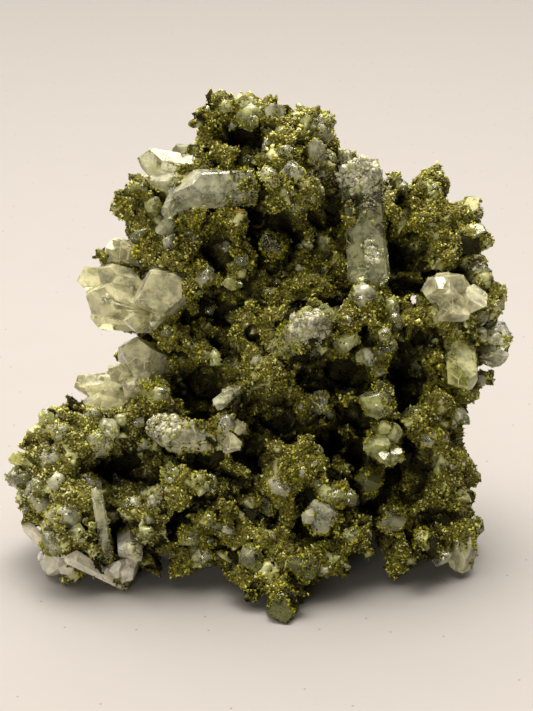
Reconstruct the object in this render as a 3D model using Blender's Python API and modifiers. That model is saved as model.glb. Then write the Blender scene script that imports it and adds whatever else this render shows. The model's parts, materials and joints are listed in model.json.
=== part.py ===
"""A quartz cluster overgrown with epidote: a mossy green mass of crusted crystals with pale quartz
crystals standing out of it.

The layout is drawn in a sight window: a flat window in front of the cluster, seen along a line
that looks down at it. Across and down are mm from the window's left and top edges, and forward is
mm from the window towards the eye. seen() turns them into the cluster's own frame, which has +Z
up, the front facing -Y, and the floor at z = 0.
"""

import math
import random

import bmesh
import bpy
from mathutils import Matrix, Vector

MM = 0.001
SEED = 11

# The sight window and the eye behind it.
SIGHT_TILT = math.radians(22)
EYE_DISTANCE = 450.0
WINDOW_WIDTH = 106.6
WINDOW_HEIGHT = 142.2
WINDOW_CENTRE = Vector((1.49, -0.44, 41.9))

# Each quartz crystal stands in a socket of the mass, and the socket is this much wider.
SOCKET_GAP = 0.3

# The spine of the mass, as (across, down, forward), (half width, half height, half depth).
SPINE = {
    "heart": ((58, 68, -13), (33, 31, 15)),
    "crown": ((54, 34, -8), (15, 13, 12)),
    "shoulder": ((38, 46, -8), (13, 12, 10)),
    "left_lobe": ((22, 98, -7), (16, 14, 11)),
    "right_lobe": ((88, 57, -10), (9, 19, 9)),
    "right_foot": ((85, 97, -9), (9, 14, 10)),
    "front_foot": ((56, 107, -3), (15, 11, 11)),
    "waist": ((58, 84, -17), (30, 15, 14)),
    "heel": ((57, 95, -25), (25, 15, 13)),
}

# The crusted crystals of the mass, as (across, down, forward) of the tip and the radius. A fifth
# value aims the crystal (right, up, near); the others grow out of the nearest part of the spine.
CRUSTED = {
    "crown": [
        (43.8, 17.6, 1, 3.0, (-0.1, 1, 0.1)),
        (50.4, 17.8, 2, 3.3, (-0.2, 1, 0.2)),
        (55.6, 18.6, 0, 3.0, (0.3, 1, 0)),
        (37.6, 22.6, -1, 2.2, (-1, 0.5, 0.2)),
        (37.8, 26.6, 0, 3.0, (-1, 0.2, 0.4)),
        (43, 30, 6, 3.4),
        (46, 23, 4, 2.8),
        (50, 22, 5, 3.0),
        (56, 24, 7, 3.6),
        (57.6, 27.5, 10, 4.0),
        (57, 32, 13, 4.4),
        (58, 37.4, 14, 4.8),
        (55, 41.5, 11, 3.2),
        (62.4, 38, 11, 3.8),
        (61, 20.6, 1, 2.0, (0.2, 1, 0)),
        (64, 22, 1, 2.2, (0.6, 1, 0)),
        (66.2, 25, 0, 2.6, (1, 0.6, 0)),
        (67.2, 28.2, -2, 2.2, (1, 0.1, 0)),
        (61, 26, 5, 3.2),
        (50, 32, 2, 2.6),
        (66, 35, 1, 3.2),
    ],
    "upper_left": [
        (27.4, 33.6, 3, 4.2, (-0.1, 1, 0.5)),
        (30, 41, 4, 3.4, (0, 0.3, 1)),
        (21, 42.4, 0, 2.2, (-1, -0.1, 0.2)),
        (24, 45, 2, 2.6, (-1, 0, 0.6)),
        (36, 43.6, 10, 3.0),
        (41, 43.2, 11, 3.0),
        (46.5, 43.4, 9, 3.2),
        (28.4, 49, 5, 2.8),
        (26.6, 53, 3, 3.2),
        (19.2, 49, -2, 1.6, (-0.4, 1, 0)),
        (33, 48.6, 6, 3.6),
        (38, 48.8, 5, 3.0),
        (37, 54.6, 9, 4.8),
        (31.4, 54, 7, 3.8),
    ],
    "middle_left": [
        (49, 48.4, 6, 2.8),
        (50, 53.6, 8, 3.8),
        (41.4, 57, 6, 2.8),
        (38, 60, 8, 3.8),
        (46, 58, 7, 2.8),
        (52, 58.6, 7, 3.0),
        (49, 61.6, 9, 3.4),
        (53, 64, 10, 3.8),
        (34, 62, 7, 3.6),
        (32, 66.4, 6, 3.2),
        (34, 69.6, 7, 3.6),
        (38, 66.4, 0, 3.4),
        (38, 70.6, 6, 2.6),
        (42, 72.2, 7, 2.6),
        (47, 68, 7, 3.2),
        (53.4, 73, 11, 3.6),
        (49, 75, 9, 3.0),
        (47, 79.4, 7, 2.8),
        (29.6, 73, 2, 3.2),
        (33, 78, 8, 3.6),
        (36.4, 81.4, 5, 2.8),
    ],
    "middle_right": [
        (58, 60, 8, 3.2),
        (61.6, 56, 7, 3.0),
        (65, 57, 8, 3.0),
        (57, 54.4, 5, 2.8),
        (63.6, 48, 0, 3.2),
        (59, 45.4, 0, 3.0),
        (67, 52.4, 3, 3.0),
        (72, 60.4, 9, 3.6),
        (79, 62, 7, 3.8),
        (70, 65, 11, 4.0),
        (76, 66, 11, 4.2),
        (83, 65.6, 9, 3.8),
        (69, 69.4, 9, 3.4),
        (77, 69.6, 9, 3.4),
        (88, 68, 4, 3.2),
        (64.4, 73, 3, 3.0),
        (76, 73.4, 8, 3.0),
        (75.4, 77.6, 9, 2.8),
        (83.4, 72.6, 1, 2.6),
        (88, 74.4, 7, 3.8),
        (86.6, 79, 7, 3.6),
    ],
    "right_rim": [
        (78, 32.4, -2, 2.6, (0.4, 1, 0)),
        (81.6, 34.8, -2, 2.4, (0.2, 1, 0)),
        (85.2, 34.6, -3, 1.8, (0, 1, 0)),
        (88.8, 36.4, -3, 2.4, (0.4, 1, 0)),
        (78.4, 39, 4, 3.2),
        (83, 40.4, 3, 3.6),
        (87, 42, 3, 3.4),
        (91.4, 41.6, 0, 2.8),
        (81, 46.4, -1, 3.6),
        (86, 46.6, 1, 3.6),
        (91, 48, 4, 3.6),
        (87, 51, 4, 3.0),
        (82, 52.4, -1, 3.2),
        (80, 56.4, -1, 3.2),
        (97.4, 52.2, -2, 2.6, (0, 1, 0.2)),
        (99.4, 56.6, -1, 3.0, (1, 0.6, 0.3)),
        (102.4, 59.2, -2, 2.4, (1, 0, 0)),
        (98.6, 61.6, 1, 3.0, (1, -0.2, 0.8)),
        (97, 65.6, 1, 3.2, (1, 0, 1)),
        (100.6, 68.2, -1, 2.2, (1, -0.2, 0)),
        (95, 68, 4, 3.2),
        (97.6, 74.4, 0, 3.0, (1, -0.4, 0.4)),
        (88, 63.6, 6, 3.4),
        (83.4, 61.8, 4, 2.4),
        (95.4, 79.8, 0, 2.6, (1, -0.3, 0)),
        (92, 82, 3, 3.0),
        (93.4, 85, 0, 2.4, (1, -0.2, 0)),
    ],
    "left_lobe": [
        (12, 80, 1, 3.2, (-0.4, 1, 0.4)),
        (18.4, 81, 4, 3.6, (0, 0.8, 1)),
        (7.8, 83, -1, 2.8, (-1, 0.8, 0.2)),
        (19.4, 84.2, 9, 3.8),
        (12.4, 86.6, 8, 3.2),
        (25, 83.6, 7, 3.4),
        (4.6, 87.6, 0, 3.0, (-1, 0.4, 0.4)),
        (8, 91.6, 6, 3.6),
        (12.6, 92.4, 9, 3.8),
        (2.4, 94.4, 0, 2.6, (-1, 0, 0.4)),
        (2.2, 99, 0, 3.0, (-1, -0.1, 0.3)),
        (4.4, 103, 1, 2.8, (-1, -0.3, 0.4)),
        (7.6, 97.6, 6, 3.4),
        (11.2, 98.4, 10, 4.0),
        (15, 101.4, 13, 4.4),
        (12, 106, 12, 4.2),
        (17, 107.4, 13, 3.6),
        (8.6, 105.6, 6, 3.2),
        (14, 111.6, 8, 3.2),
        (19.4, 112, 9, 3.2),
        (15, 117.4, 3, 2.8, (-0.2, -1, 0.4)),
        (22, 117.4, 3, 3.0, (0, -1, 0.5)),
        (28, 116, 4, 3.0, (0.2, -1, 0.5)),
        (22, 88.4, 7, 2.8),
        (17, 89.4, 9, 2.8),
        (24, 96, 0, 3.4),
        (23, 101.4, 6, 3.4),
        (27.6, 103.6, 9, 3.6),
        (31, 106.6, 12, 4.2),
    ],
    "lower_left": [
        (36.6, 95, 13, 4.0),
        (39.8, 96.8, 12, 3.2),
        (34.6, 100, 13, 3.8),
        (38.8, 104, 10, 2.8),
        (40, 108.4, 10, 3.8),
        (36.4, 111.4, 8, 3.2),
        (41, 113, 8, 3.2, (-0.1, -0.8, 1)),
        (33, 110.6, 5, 3.0),
        (37, 115, 2, 2.6, (0, -1, 0.5)),
        (43, 104, 9, 3.4),
        (44.6, 100.4, 10, 3.8),
    ],
    "low_centre": [
        (43, 84.4, 7, 3.4),
        (41, 90, 5, 3.0),
        (46, 92.6, 7, 3.4),
        (46.6, 83, 9, 3.0),
        (58.4, 81.6, 2, 2.8),
        (65, 82, 6, 3.4),
        (70, 81, 9, 3.4),
        (54, 88, 10, 2.8),
        (57, 90.6, 12, 3.2),
        (60, 92.6, 13, 3.6),
        (63.2, 89.6, 12, 3.2),
        (69, 86.4, 8, 2.2),
        (55, 95, 9, 3.6),
        (58, 98, 10, 3.8),
        (68, 97.6, 14, 3.8),
        (71.4, 99.6, 11, 3.0),
        (70, 92, 7, 3.0),
        (58, 104.6, 9, 3.2),
        (57, 108.6, 11, 3.4),
        (48, 104.4, 6, 3.2),
        (45, 110, 8, 3.4),
        (47, 115.4, 10, 3.2),
        (50.6, 120.4, 12, 3.4, (-0.2, -1, 0.7)),
        (47.4, 119.4, 11, 2.8, (-0.5, -1, 0.4)),
        (60.4, 118, 11, 3.4, (0.2, -1, 0.8)),
        (65, 114.8, 10, 3.2, (0.2, -0.8, 1)),
        (66, 110, 12, 3.4),
        (70, 112, 10, 3.4),
        (73, 108, 8, 3.6),
        (74, 104.4, 7, 3.4),
        (69.4, 116.8, 6, 2.6, (0.3, -1, 0.4)),
        (74, 113.4, 5, 2.6, (0.5, -1, 0.5)),
    ],
    "lower_right": [
        (76.4, 82, 9, 3.4),
        (83, 82.4, 8, 3.6),
        (88, 84.6, 7, 3.8),
        (88.4, 90, 7, 4.4),
        (93.2, 90, 0, 2.6, (1, 0.2, 0.1)),
        (93.2, 94.4, 0, 2.8, (1, 0, 0.2)),
        (87, 95.6, 5, 3.6),
        (92, 98.6, 2, 2.6, (1, 0, 0.6)),
        (80, 100.6, 3, 3.2),
        (85, 100.6, 4, 3.4),
        (91, 101.6, 4, 3.6),
        (95.2, 104.2, 0, 3.0, (1, 0, 0.2)),
        (94.4, 109, 1, 3.2, (1, -0.3, 0.4)),
        (88, 106.4, 6, 3.2),
        (79.2, 116.6, 1, 3.4, (0, -1, 0.3)),
        (79, 111.6, 5, 3.6),
        (83.4, 112.6, 3, 3.0, (0.4, -0.8, 0.8)),
        (88.6, 113, 2, 2.6, (0.2, -1, 0.6)),
    ],
}

# The dark hollows of the front, sunk in the spine, as (across, down, forward), (half sizes).
HOLLOWS = {
    "lobe_hollow": ((26, 93.6, 7), (9, 4.4, 11)),
    "lobe_floor_hollow": ((24, 107, 8), (3, 3, 8)),
    "right_hollow": ((81.6, 93, 3), (4.6, 7, 10)),
    "middle_hollow": ((66, 75, 2), (6.4, 4.8, 9)),
    "low_hollow": ((69.6, 88, 2), (3.4, 5, 8)),
    "centre_hollow": ((54.6, 85.4, 3), (5.6, 2.8, 8)),
    "left_hollow": ((41, 77.4, 3), (4.6, 4.4, 9)),
    "upper_hollow": ((44.4, 62.4, 2), (3.4, 2.6, 8)),
    "rim_hollow": ((81.6, 50.2, -2), (3.6, 2.4, 7)),
    "slot_hollow": ((81.8, 73, -1), (3, 4, 7)),
    "crown_hollow": ((47.6, 26.6, 3), (4, 2.6, 6)),
    "foot_hollow": ((61.6, 103, 3), (2.4, 5, 8)),
}

# A narrow gap beside the clear crystal on the right, where the light comes through, as (near
# end), (far end), radius.
LIGHT_GAP = ((83.4, 59.8, 16), (83.6, 59.6, -40), 1.3)

# How the unseen sides are grown: this many crystals from each part of the spine.
BACK_GROWTH = {
    "heart": 64,
    "crown": 22,
    "shoulder": 12,
    "left_lobe": 18,
    "right_lobe": 16,
    "right_foot": 12,
    "waist": 18,
    "heel": 26,
}
BACK_RADIUS = (3.4, 5.6)
BACK_REACH = (2.6, 6.0)

# The crust rounds the crystals of the mass to this grain, and flat stretches take few triangles.
CRUST_GRAIN = 0.7
MASS_TRIANGLES = 5000

# The quartz crystals. Each piece has a tint, and is one crystal or several that have grown into
# one another, as (base), (tip), radius, with the points in the sight window.
QUARTZ = {
    "quartz_upper_left_group": ("clear", [
        ((50, 37.4, 2), (31.6, 38.6, 9), 4.9),
        ((42, 34.6, 0), (26.6, 31.6, 3), 3.7),
        ((45, 38, -3), (33.6, 27.4, -1), 3.4),
        ((36, 37, 4), (32.6, 45, 6), 1.9),
        ((38, 42, 2), (30.2, 47.6, 4), 2.3),
    ]),
    "quartz_left_group": ("green", [
        ((32, 53, -4), (18.8, 49, 1), 3.4),
        ((33, 63, -7), (14.8, 58.2, 3), 5.8),
        ((38, 57, -4), (25.4, 61.4, 12), 6.6),
    ]),
    "quartz_lower_left_group": ("clear", [
        ((33, 75, -6), (22.4, 70.4, 7), 5.6),
        ((32, 82, -6), (15.4, 79.4, 1), 3.4),
    ]),
    "quartz_far_left_bud": ("yellow", [((8, 93, -2), (0.5, 91, 0), 2.0)]),
    "quartz_lobe_rod": ("smoky", [((21.4, 112, 5), (19, 97.2, 14), 1.5)]),
    "quartz_pink_group": ("pink", [
        ((14, 107, -5), (7.6, 116.8, -1), 3.7),
        ((13, 113, -4), (4, 103.6, -1), 1.8),
    ]),
    "quartz_lobe_foot_group": ("pink", [
        ((25, 118, 2), (12.6, 110.6, 9), 2.3),
        ((26, 107, -3), (26.4, 112, 9), 3.7),
        ((27, 111, 0), (24.6, 116.8, 7), 2.3),
    ]),
    "quartz_bar_group": ("green", [
        ((43.4, 88, 3), (27.4, 85, 12), 4.1),
        ((48.4, 86.4, -2), (47.4, 85, 10), 2.1),
        ((46.6, 87.6, -3), (46, 88.8, 11), 2.6),
    ]),
    "quartz_slanted_shard": ("clear", [((48, 77.6, 2), (43, 81.4, 10), 1.9)]),
    "quartz_window": ("clear", [((55, 50.4, -5), (54.6, 48.2, 9), 3.1)]),
    "quartz_centre_bar": ("green", [((53, 71.4, 4), (68, 60.6, 14), 4.2)]),
    "quartz_column_group": ("clear", [
        ((73, 38, -4), (74, 61, 7), 4.9),
        ((73, 42, -8), (70.6, 28.4, 3), 5.4),
    ]),
    "quartz_right_top_group": ("yellow", [
        ((91, 48, -5), (96, 38.6, -1), 2.8),
        ((90, 48, -5), (99, 46, 3), 3.6),
    ]),
    "quartz_right_clear": ("clear", [((88, 60, -8), (91.6, 57.4, 10), 6.0)]),
    "quartz_yellow_gem": ("yellow", [((91.6, 68, -2), (92.8, 79.4, 9), 3.8)]),
    "quartz_right_grey": ("clear", [((94, 69.6, -12), (101.8, 72.4, -3), 2.5)]),
    "quartz_pale_rosette": ("green", [
        ((77, 89, -5), (74.6, 89, 13), 3.2),
        ((77, 89, -4), (79, 86, 11), 2.4),
        ((77, 89, -4), (79, 92, 11), 2.6),
    ]),
    "quartz_green_glass": ("smoky", [((73, 97, -12), (74.2, 95.6, 9), 3.0)]),
    "quartz_front_gem": ("green", [((65, 104, 0), (64.2, 102.4, 17), 4.3)]),
    "quartz_smoky_bud": ("smoky", [((54.6, 101, -5), (54.2, 100.4, 8), 2.9)]),
    "quartz_veiled_bud": ("green", [((71.4, 107.6, -2), (70, 107.2, 14), 2.2)]),
    "quartz_round_window": ("clear", [((50.6, 111, 0), (50.2, 111.4, 14), 2.8)]),
    "quartz_low_group": ("green", [
        ((60.4, 112, 0), (60.8, 113.2, 16), 3.6),
        ((57.4, 111, 2), (56, 125.6, 18), 3.8),
    ]),
    "quartz_leaf_window": ("smoky", [((79.4, 102, -5), (77.8, 105.4, 10), 3.2)]),
    "quartz_olive_bud": ("yellow", [((84, 106, -4), (85.4, 108.6, 9), 2.8)]),
    "quartz_right_foot_tip": ("yellow", [((92, 105, -5), (93, 115.8, 2), 3.6)]),
    "quartz_crown_window": ("clear", [((54.6, 28, -5), (55, 20.2, 4), 2.9)]),
    "quartz_crown_facet": ("clear", [((61.6, 33, -3), (63.8, 28.6, 9), 2.9)]),
}


# Quartz ends in six faces that lean this far from its axis, each sunk by up to this share of the
# radius, so that they differ in size. The crusted crystals end in three faces.
QUARTZ_LEAN = math.radians(52)
QUARTZ_SINK = 0.55
CRUSTED_LEANS = (math.radians(34), math.radians(56))
CRUSTED_SINK = 0.35
CRUSTED_TWIST = 0.35
CRUSTED_FLATNESS = (0.75, 1)

# A crusted crystal with no aim of its own reaches this share of the way back to the spine, and
# one with an aim is this much longer than its radius makes it.
ROOT_SHARE = 0.75
AIMED_LENGTHS = (3.2, 4)

# Points closer than this are one, and faces that bend less than this are one flat face.
POINT_MERGE = 1e-6
FLAT_ANGLE = math.radians(0.5)

# Colour and roughness.
EPIDOTE = ((0.16, 0.17, 0.035, 1), 0.6)
TINTS = {
    "clear": ((0.66, 0.67, 0.60, 1), 0.15),
    "green": ((0.55, 0.60, 0.36, 1), 0.2),
    "yellow": ((0.64, 0.62, 0.30, 1), 0.2),
    "pink": ((0.72, 0.60, 0.52, 1), 0.2),
    "smoky": ((0.36, 0.37, 0.28, 1), 0.15),
}


def seen(across, down, forward):
    """The point, in metres, that is seen at that place of the window, so far in front of it."""
    right = across - WINDOW_WIDTH / 2
    up = WINDOW_HEIGHT / 2 - down
    nearer = 1 - forward / EYE_DISTANCE
    return (WINDOW_CENTRE + from_sight((right * nearer, up * nearer, forward))) * MM


def from_sight(direction):
    """A (right, up, near) direction of the window in the cluster's own frame."""
    right, up, near = direction
    y = up * math.sin(SIGHT_TILT) - near * math.cos(SIGHT_TILT)
    z = up * math.cos(SIGHT_TILT) + near * math.sin(SIGHT_TILT)
    return Vector((right, y, z))


def clear_scene():
    for obj in list(bpy.data.objects):
        bpy.data.objects.remove(obj)


def new_collection(name, hidden=False):
    collection = bpy.data.collections.new(name)
    bpy.context.scene.collection.children.link(collection)
    collection.hide_render = hidden
    return collection


def material(name, look):
    colour, roughness = look
    made = bpy.data.materials.new(name)
    made.use_nodes = True
    shader = made.node_tree.nodes["Principled BSDF"]
    shader.inputs["Base Color"].default_value = colour
    shader.inputs["Roughness"].default_value = roughness
    shader.inputs["Metallic"].default_value = 0
    return made


def placed(mesh, root, tip, roll):
    """Moves a mesh that stands on the origin along +Z so that it runs from root towards tip."""
    turn = (tip - root).to_track_quat("Z", "Y").to_matrix().to_4x4()
    mesh.transform(Matrix.Translation(root) @ turn @ Matrix.Rotation(roll, 4, "Z"))


def hull(points):
    """The convex solid around the points, as a bmesh with flat many-sided faces."""
    mesh = bmesh.new()
    for point in points:
        mesh.verts.new(point)
    bmesh.ops.remove_doubles(mesh, verts=mesh.verts, dist=POINT_MERGE)
    made = bmesh.ops.convex_hull(mesh, input=mesh.verts)
    spare = set(made["geom_interior"] + made["geom_unused"])
    inside = [part for part in spare if isinstance(part, bmesh.types.BMVert)]
    bmesh.ops.delete(mesh, geom=inside, context="VERTS")
    bmesh.ops.dissolve_limit(mesh, angle_limit=FLAT_ANGLE, verts=mesh.verts, edges=mesh.edges)
    return mesh


def sliced(mesh, point, normal):
    """A convex solid without what lies beyond the plane."""
    geometry = mesh.verts[:] + mesh.edges[:] + mesh.faces[:]
    bmesh.ops.bisect_plane(mesh, geom=geometry, plane_co=point, plane_no=normal, clear_outer=True)
    points = [vert.co.copy() for vert in mesh.verts]
    mesh.free()
    return hull(points)


def prism(sides, radius, length):
    """A prism on the origin, along +Z, as a bmesh."""
    mesh = bmesh.new()
    bmesh.ops.create_cone(
        mesh,
        segments=sides,
        radius1=radius,
        radius2=radius,
        depth=length,
        cap_ends=True,
        matrix=Matrix.Translation((0, 0, length / 2)),
    )
    return mesh


def facet_plane(turn, lean, top):
    """A plane that leans away from the axis, through the axis at the height top."""
    normal = Vector((math.cos(turn) * math.sin(lean), math.sin(turn) * math.sin(lean), math.cos(lean)))
    return Vector((0, 0, top)), normal


def quartz_crystal(root, tip, radius, dice, grown=0.0):
    """A six-sided crystal whose end faces are of uneven size. grown widens it on every side."""
    length = (tip - root).length
    wide = radius + grown / math.cos(math.pi / 6)
    mesh = prism(6, wide, length + 2 * grown)
    mesh.transform(Matrix.Translation((0, 0, -grown)))
    for side in range(6):
        turn = (side + 0.5) * math.tau / 6
        top = length - dice.uniform(0, QUARTZ_SINK) * radius + grown / math.cos(QUARTZ_LEAN)
        mesh = sliced(mesh, *facet_plane(turn, QUARTZ_LEAN, top))
    placed(mesh, root, tip, dice.uniform(0, math.tau))
    return mesh


def crusted_crystal(root, tip, radius, dice):
    """A blunt five or six-sided crystal with a three-faced end, as the crust leaves it."""
    length = (tip - root).length
    mesh = prism(dice.choice((5, 6)), radius, length)
    mesh.transform(Matrix.Diagonal((1, dice.uniform(*CRUSTED_FLATNESS), 1, 1)))
    start = dice.uniform(0, math.tau)
    for side in range(3):
        turn = start + side * math.tau / 3 + dice.uniform(-CRUSTED_TWIST, CRUSTED_TWIST)
        top = length - dice.uniform(0, CRUSTED_SINK) * radius
        mesh = sliced(mesh, *facet_plane(turn, dice.uniform(*CRUSTED_LEANS), top))
    placed(mesh, root, tip, dice.uniform(0, math.tau))
    return mesh


def object_of(mesh, name, collection):
    """The bmesh as an object. One in a hidden collection is a helper and stays out of the build."""
    data = bpy.data.meshes.new(name)
    mesh.to_mesh(data)
    mesh.free()
    return linked(data, name, collection)


def linked(data, name, collection):
    obj = bpy.data.objects.new(name, data)
    collection.objects.link(obj)
    if collection.hide_render:
        obj.hide_render = True
        obj.display_type = "WIRE"
    return obj


def ellipsoid(centre, half):
    """An ellipsoid that is square to the sight window."""
    mesh = bmesh.new()
    bmesh.ops.create_icosphere(mesh, subdivisions=2, radius=1)
    wide, high, deep = (value * MM for value in half)
    tilt = Matrix.Rotation(-SIGHT_TILT, 4, "X")
    mesh.transform(Matrix.Translation(seen(*centre)) @ tilt @ Matrix.Diagonal((wide, deep, high, 1)))
    return mesh


def nearest_heart(point):
    """The centre of the part of the spine that is nearest to a point."""
    centres = [seen(*centre) for centre, half in SPINE.values()]
    return min(centres, key=lambda centre: (centre - point).length)


def front_crystal(row, dice):
    """One row of CRUSTED as a bmesh."""
    across, down, forward, radius = row[:4]
    tip = seen(across, down, forward)
    if len(row) > 4:
        aim = from_sight(row[4]).normalized()
        root = tip - aim * (AIMED_LENGTHS[0] * radius + AIMED_LENGTHS[1]) * MM
    else:
        heart = nearest_heart(tip)
        towards_eye = from_sight((0, 0, 1))
        aim = ((tip - heart).normalized() + towards_eye).normalized()
        root = tip - aim * (tip - heart).length * ROOT_SHARE
    return crusted_crystal(root, tip, radius * MM, dice)


def back_crystal(name, dice):
    """A crystal on the unseen side of a part of the spine, as a bmesh."""
    centre, half = SPINE[name]
    heart = seen(*centre)
    right, up, near = Vector([dice.gauss(0, 1) for _ in range(3)]).normalized()
    out = from_sight((right * half[0], up * half[1], -abs(near) * half[2])) * MM
    tip = heart + out + out.normalized() * dice.uniform(*BACK_REACH) * MM
    return crusted_crystal(heart, tip, dice.uniform(*BACK_RADIUS) * MM, dice)


def boolean(obj, operation, others):
    """Joins every object of a collection to an object, or cuts them all from it."""
    step = obj.modifiers.new(operation.lower(), "BOOLEAN")
    step.operation = operation
    step.operand_type = "COLLECTION"
    step.collection = others


def baked(obj, name, collection):
    """The object with its modifiers applied, as a new object."""
    graph = bpy.context.evaluated_depsgraph_get()
    data = bpy.data.meshes.new_from_object(obj.evaluated_get(graph), depsgraph=graph)
    data.name = name
    return linked(data, name, collection)


def largest_body(mesh):
    """Deletes all but the largest connected body of a bmesh."""
    unseen, bodies = set(mesh.verts), []
    while unseen:
        body, edge = set(), [unseen.pop()]
        while edge:
            vert = edge.pop()
            body.add(vert)
            for link in vert.link_edges:
                other = link.other_vert(vert)
                if other in unseen:
                    unseen.remove(other)
                    edge.append(other)
        bodies.append(body)
    bodies.sort(key=len)
    for body in bodies[:-1]:
        bmesh.ops.delete(mesh, geom=list(body), context="VERTS")


def cut_on_floor(obj):
    """Cuts a solid flat where it would go under the floor."""
    if min(vert.co.z for vert in obj.data.vertices) >= 0:
        return
    mesh = bmesh.new()
    mesh.from_mesh(obj.data)
    geometry = mesh.verts[:] + mesh.edges[:] + mesh.faces[:]
    down = (0, 0, -1)
    cut = bmesh.ops.bisect_plane(mesh, geom=geometry, plane_co=(0, 0, 0), plane_no=down, clear_outer=True)
    rim = [part for part in cut["geom_cut"] if isinstance(part, bmesh.types.BMEdge)]
    bmesh.ops.edgenet_fill(mesh, edges=rim)
    mesh.to_mesh(obj.data)
    mesh.free()


def quartz_piece(name, crystals, collection, scratch):
    """One quartz piece: its crystals joined in one solid."""
    dice = random.Random(name)
    made = []
    for base, tip, radius in crystals:
        made.append(quartz_crystal(seen(*base), seen(*tip), radius * MM, dice))
    first, *rest = made
    if not rest:
        return object_of(first, name, collection)
    start = object_of(first, name + "_first", scratch)
    others = new_collection(name + "_others", hidden=True)
    for mesh in rest:
        object_of(mesh, name + "_other", others)
    boolean(start, "UNION", others)
    return baked(start, name, collection)


def cut_socket(name, crystals, sockets):
    """A slightly wider copy of each crystal of a piece, to cut its socket."""
    dice = random.Random(name)
    for base, tip, radius in crystals:
        mesh = quartz_crystal(seen(*base), seen(*tip), radius * MM, dice, SOCKET_GAP * MM)
        object_of(mesh, "socket_" + name, sockets)


def light_gap():
    """A thin rod along the line of sight, to cut the narrow gap."""
    near, far, radius = LIGHT_GAP
    near, far = seen(*near), seen(*far)
    mesh = prism(8, radius * MM, (far - near).length)
    placed(mesh, near, far, 0)
    return mesh


def grown_spine(scratch):
    """The spine in one solid, with the dark hollows of the front sunk in it."""
    spine = new_collection("spine", hidden=True)
    hollows = new_collection("hollows", hidden=True)
    names = list(SPINE)
    first = object_of(ellipsoid(*SPINE[names[0]]), "spine_" + names[0], scratch)
    for name in names[1:]:
        object_of(ellipsoid(*SPINE[name]), "spine_" + name, spine)
    for name, (centre, half) in HOLLOWS.items():
        object_of(ellipsoid(centre, half), name, hollows)
    boolean(first, "UNION", spine)
    boolean(first, "DIFFERENCE", hollows)
    return baked(first, "spine_whole", scratch)


def crusted_growth(spine, scratch):
    """The spine with all the crusted crystals, as one mesh of bodies that overlap."""
    dice = random.Random(SEED)
    mesh = bmesh.new()
    mesh.from_mesh(spine.data)
    crystals = [front_crystal(row, dice) for rows in CRUSTED.values() for row in rows]
    for name, count in BACK_GROWTH.items():
        crystals += [back_crystal(name, dice) for _ in range(count)]
    for crystal in crystals:
        data = bpy.data.meshes.new("crusted")
        crystal.to_mesh(data)
        crystal.free()
        mesh.from_mesh(data)
        bpy.data.meshes.remove(data)
    return object_of(mesh, "mass_growth", scratch)


def epidote_mass(collection, scratch, sockets):
    """The crusted mass in one solid: one skin around the spine and its crystals, then the sockets."""
    growth = crusted_growth(grown_spine(scratch), scratch)
    skin = growth.modifiers.new("one_skin", "REMESH")
    skin.mode = "VOXEL"
    skin.voxel_size = CRUST_GRAIN * MM
    skin = baked(growth, "mass_skin", scratch)
    triangles = sum(len(face.vertices) - 2 for face in skin.data.polygons)
    thin = skin.modifiers.new("few_triangles", "DECIMATE")
    thin.ratio = MASS_TRIANGLES / triangles
    object_of(light_gap(), "light_gap", sockets)
    boolean(skin, "DIFFERENCE", sockets)
    skin.modifiers[-1].solver = "MANIFOLD"
    return baked(skin, "epidote_mass", collection)


def whole_body(obj):
    """Drops chips that a cut has parted from a solid, and makes its faces triangles."""
    mesh = bmesh.new()
    mesh.from_mesh(obj.data)
    largest_body(mesh)
    bmesh.ops.triangulate(mesh, faces=mesh.faces)
    mesh.to_mesh(obj.data)
    mesh.free()


def coloured(obj, look):
    """Gives an object a material of its own."""
    obj.data.materials.clear()
    obj.data.materials.append(material(obj.name, look))


def main():
    clear_scene()
    cluster = new_collection("epidote_crystal_cluster")
    scratch = new_collection("scratch", hidden=True)
    sockets = new_collection("sockets", hidden=True)
    for name, (tint, crystals) in QUARTZ.items():
        piece = quartz_piece(name, crystals, cluster, scratch)
        cut_on_floor(piece)
        coloured(piece, TINTS[tint])
        cut_socket(name, crystals, sockets)
    mass = epidote_mass(cluster, scratch, sockets)
    cut_on_floor(mass)
    whole_body(mass)
    coloured(mass, EPIDOTE)


main()
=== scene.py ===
"""The looks of the epidote crystal cluster.

The rock gets a knobbly skin, a druse of small epidote grains all over it, and quartz crystals that
are glassy, milky or stained, with druse on and in them. Places on the front are given in the sight
window of part.py: across and down are mm from the window's left and top edges, and forward is mm
from the window towards the eye.
"""

import json
import math
import random
from types import SimpleNamespace

import bmesh
import bpy
import numpy as np
from mathutils import Matrix, Vector, noise
from mathutils.bvhtree import BVHTree

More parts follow.
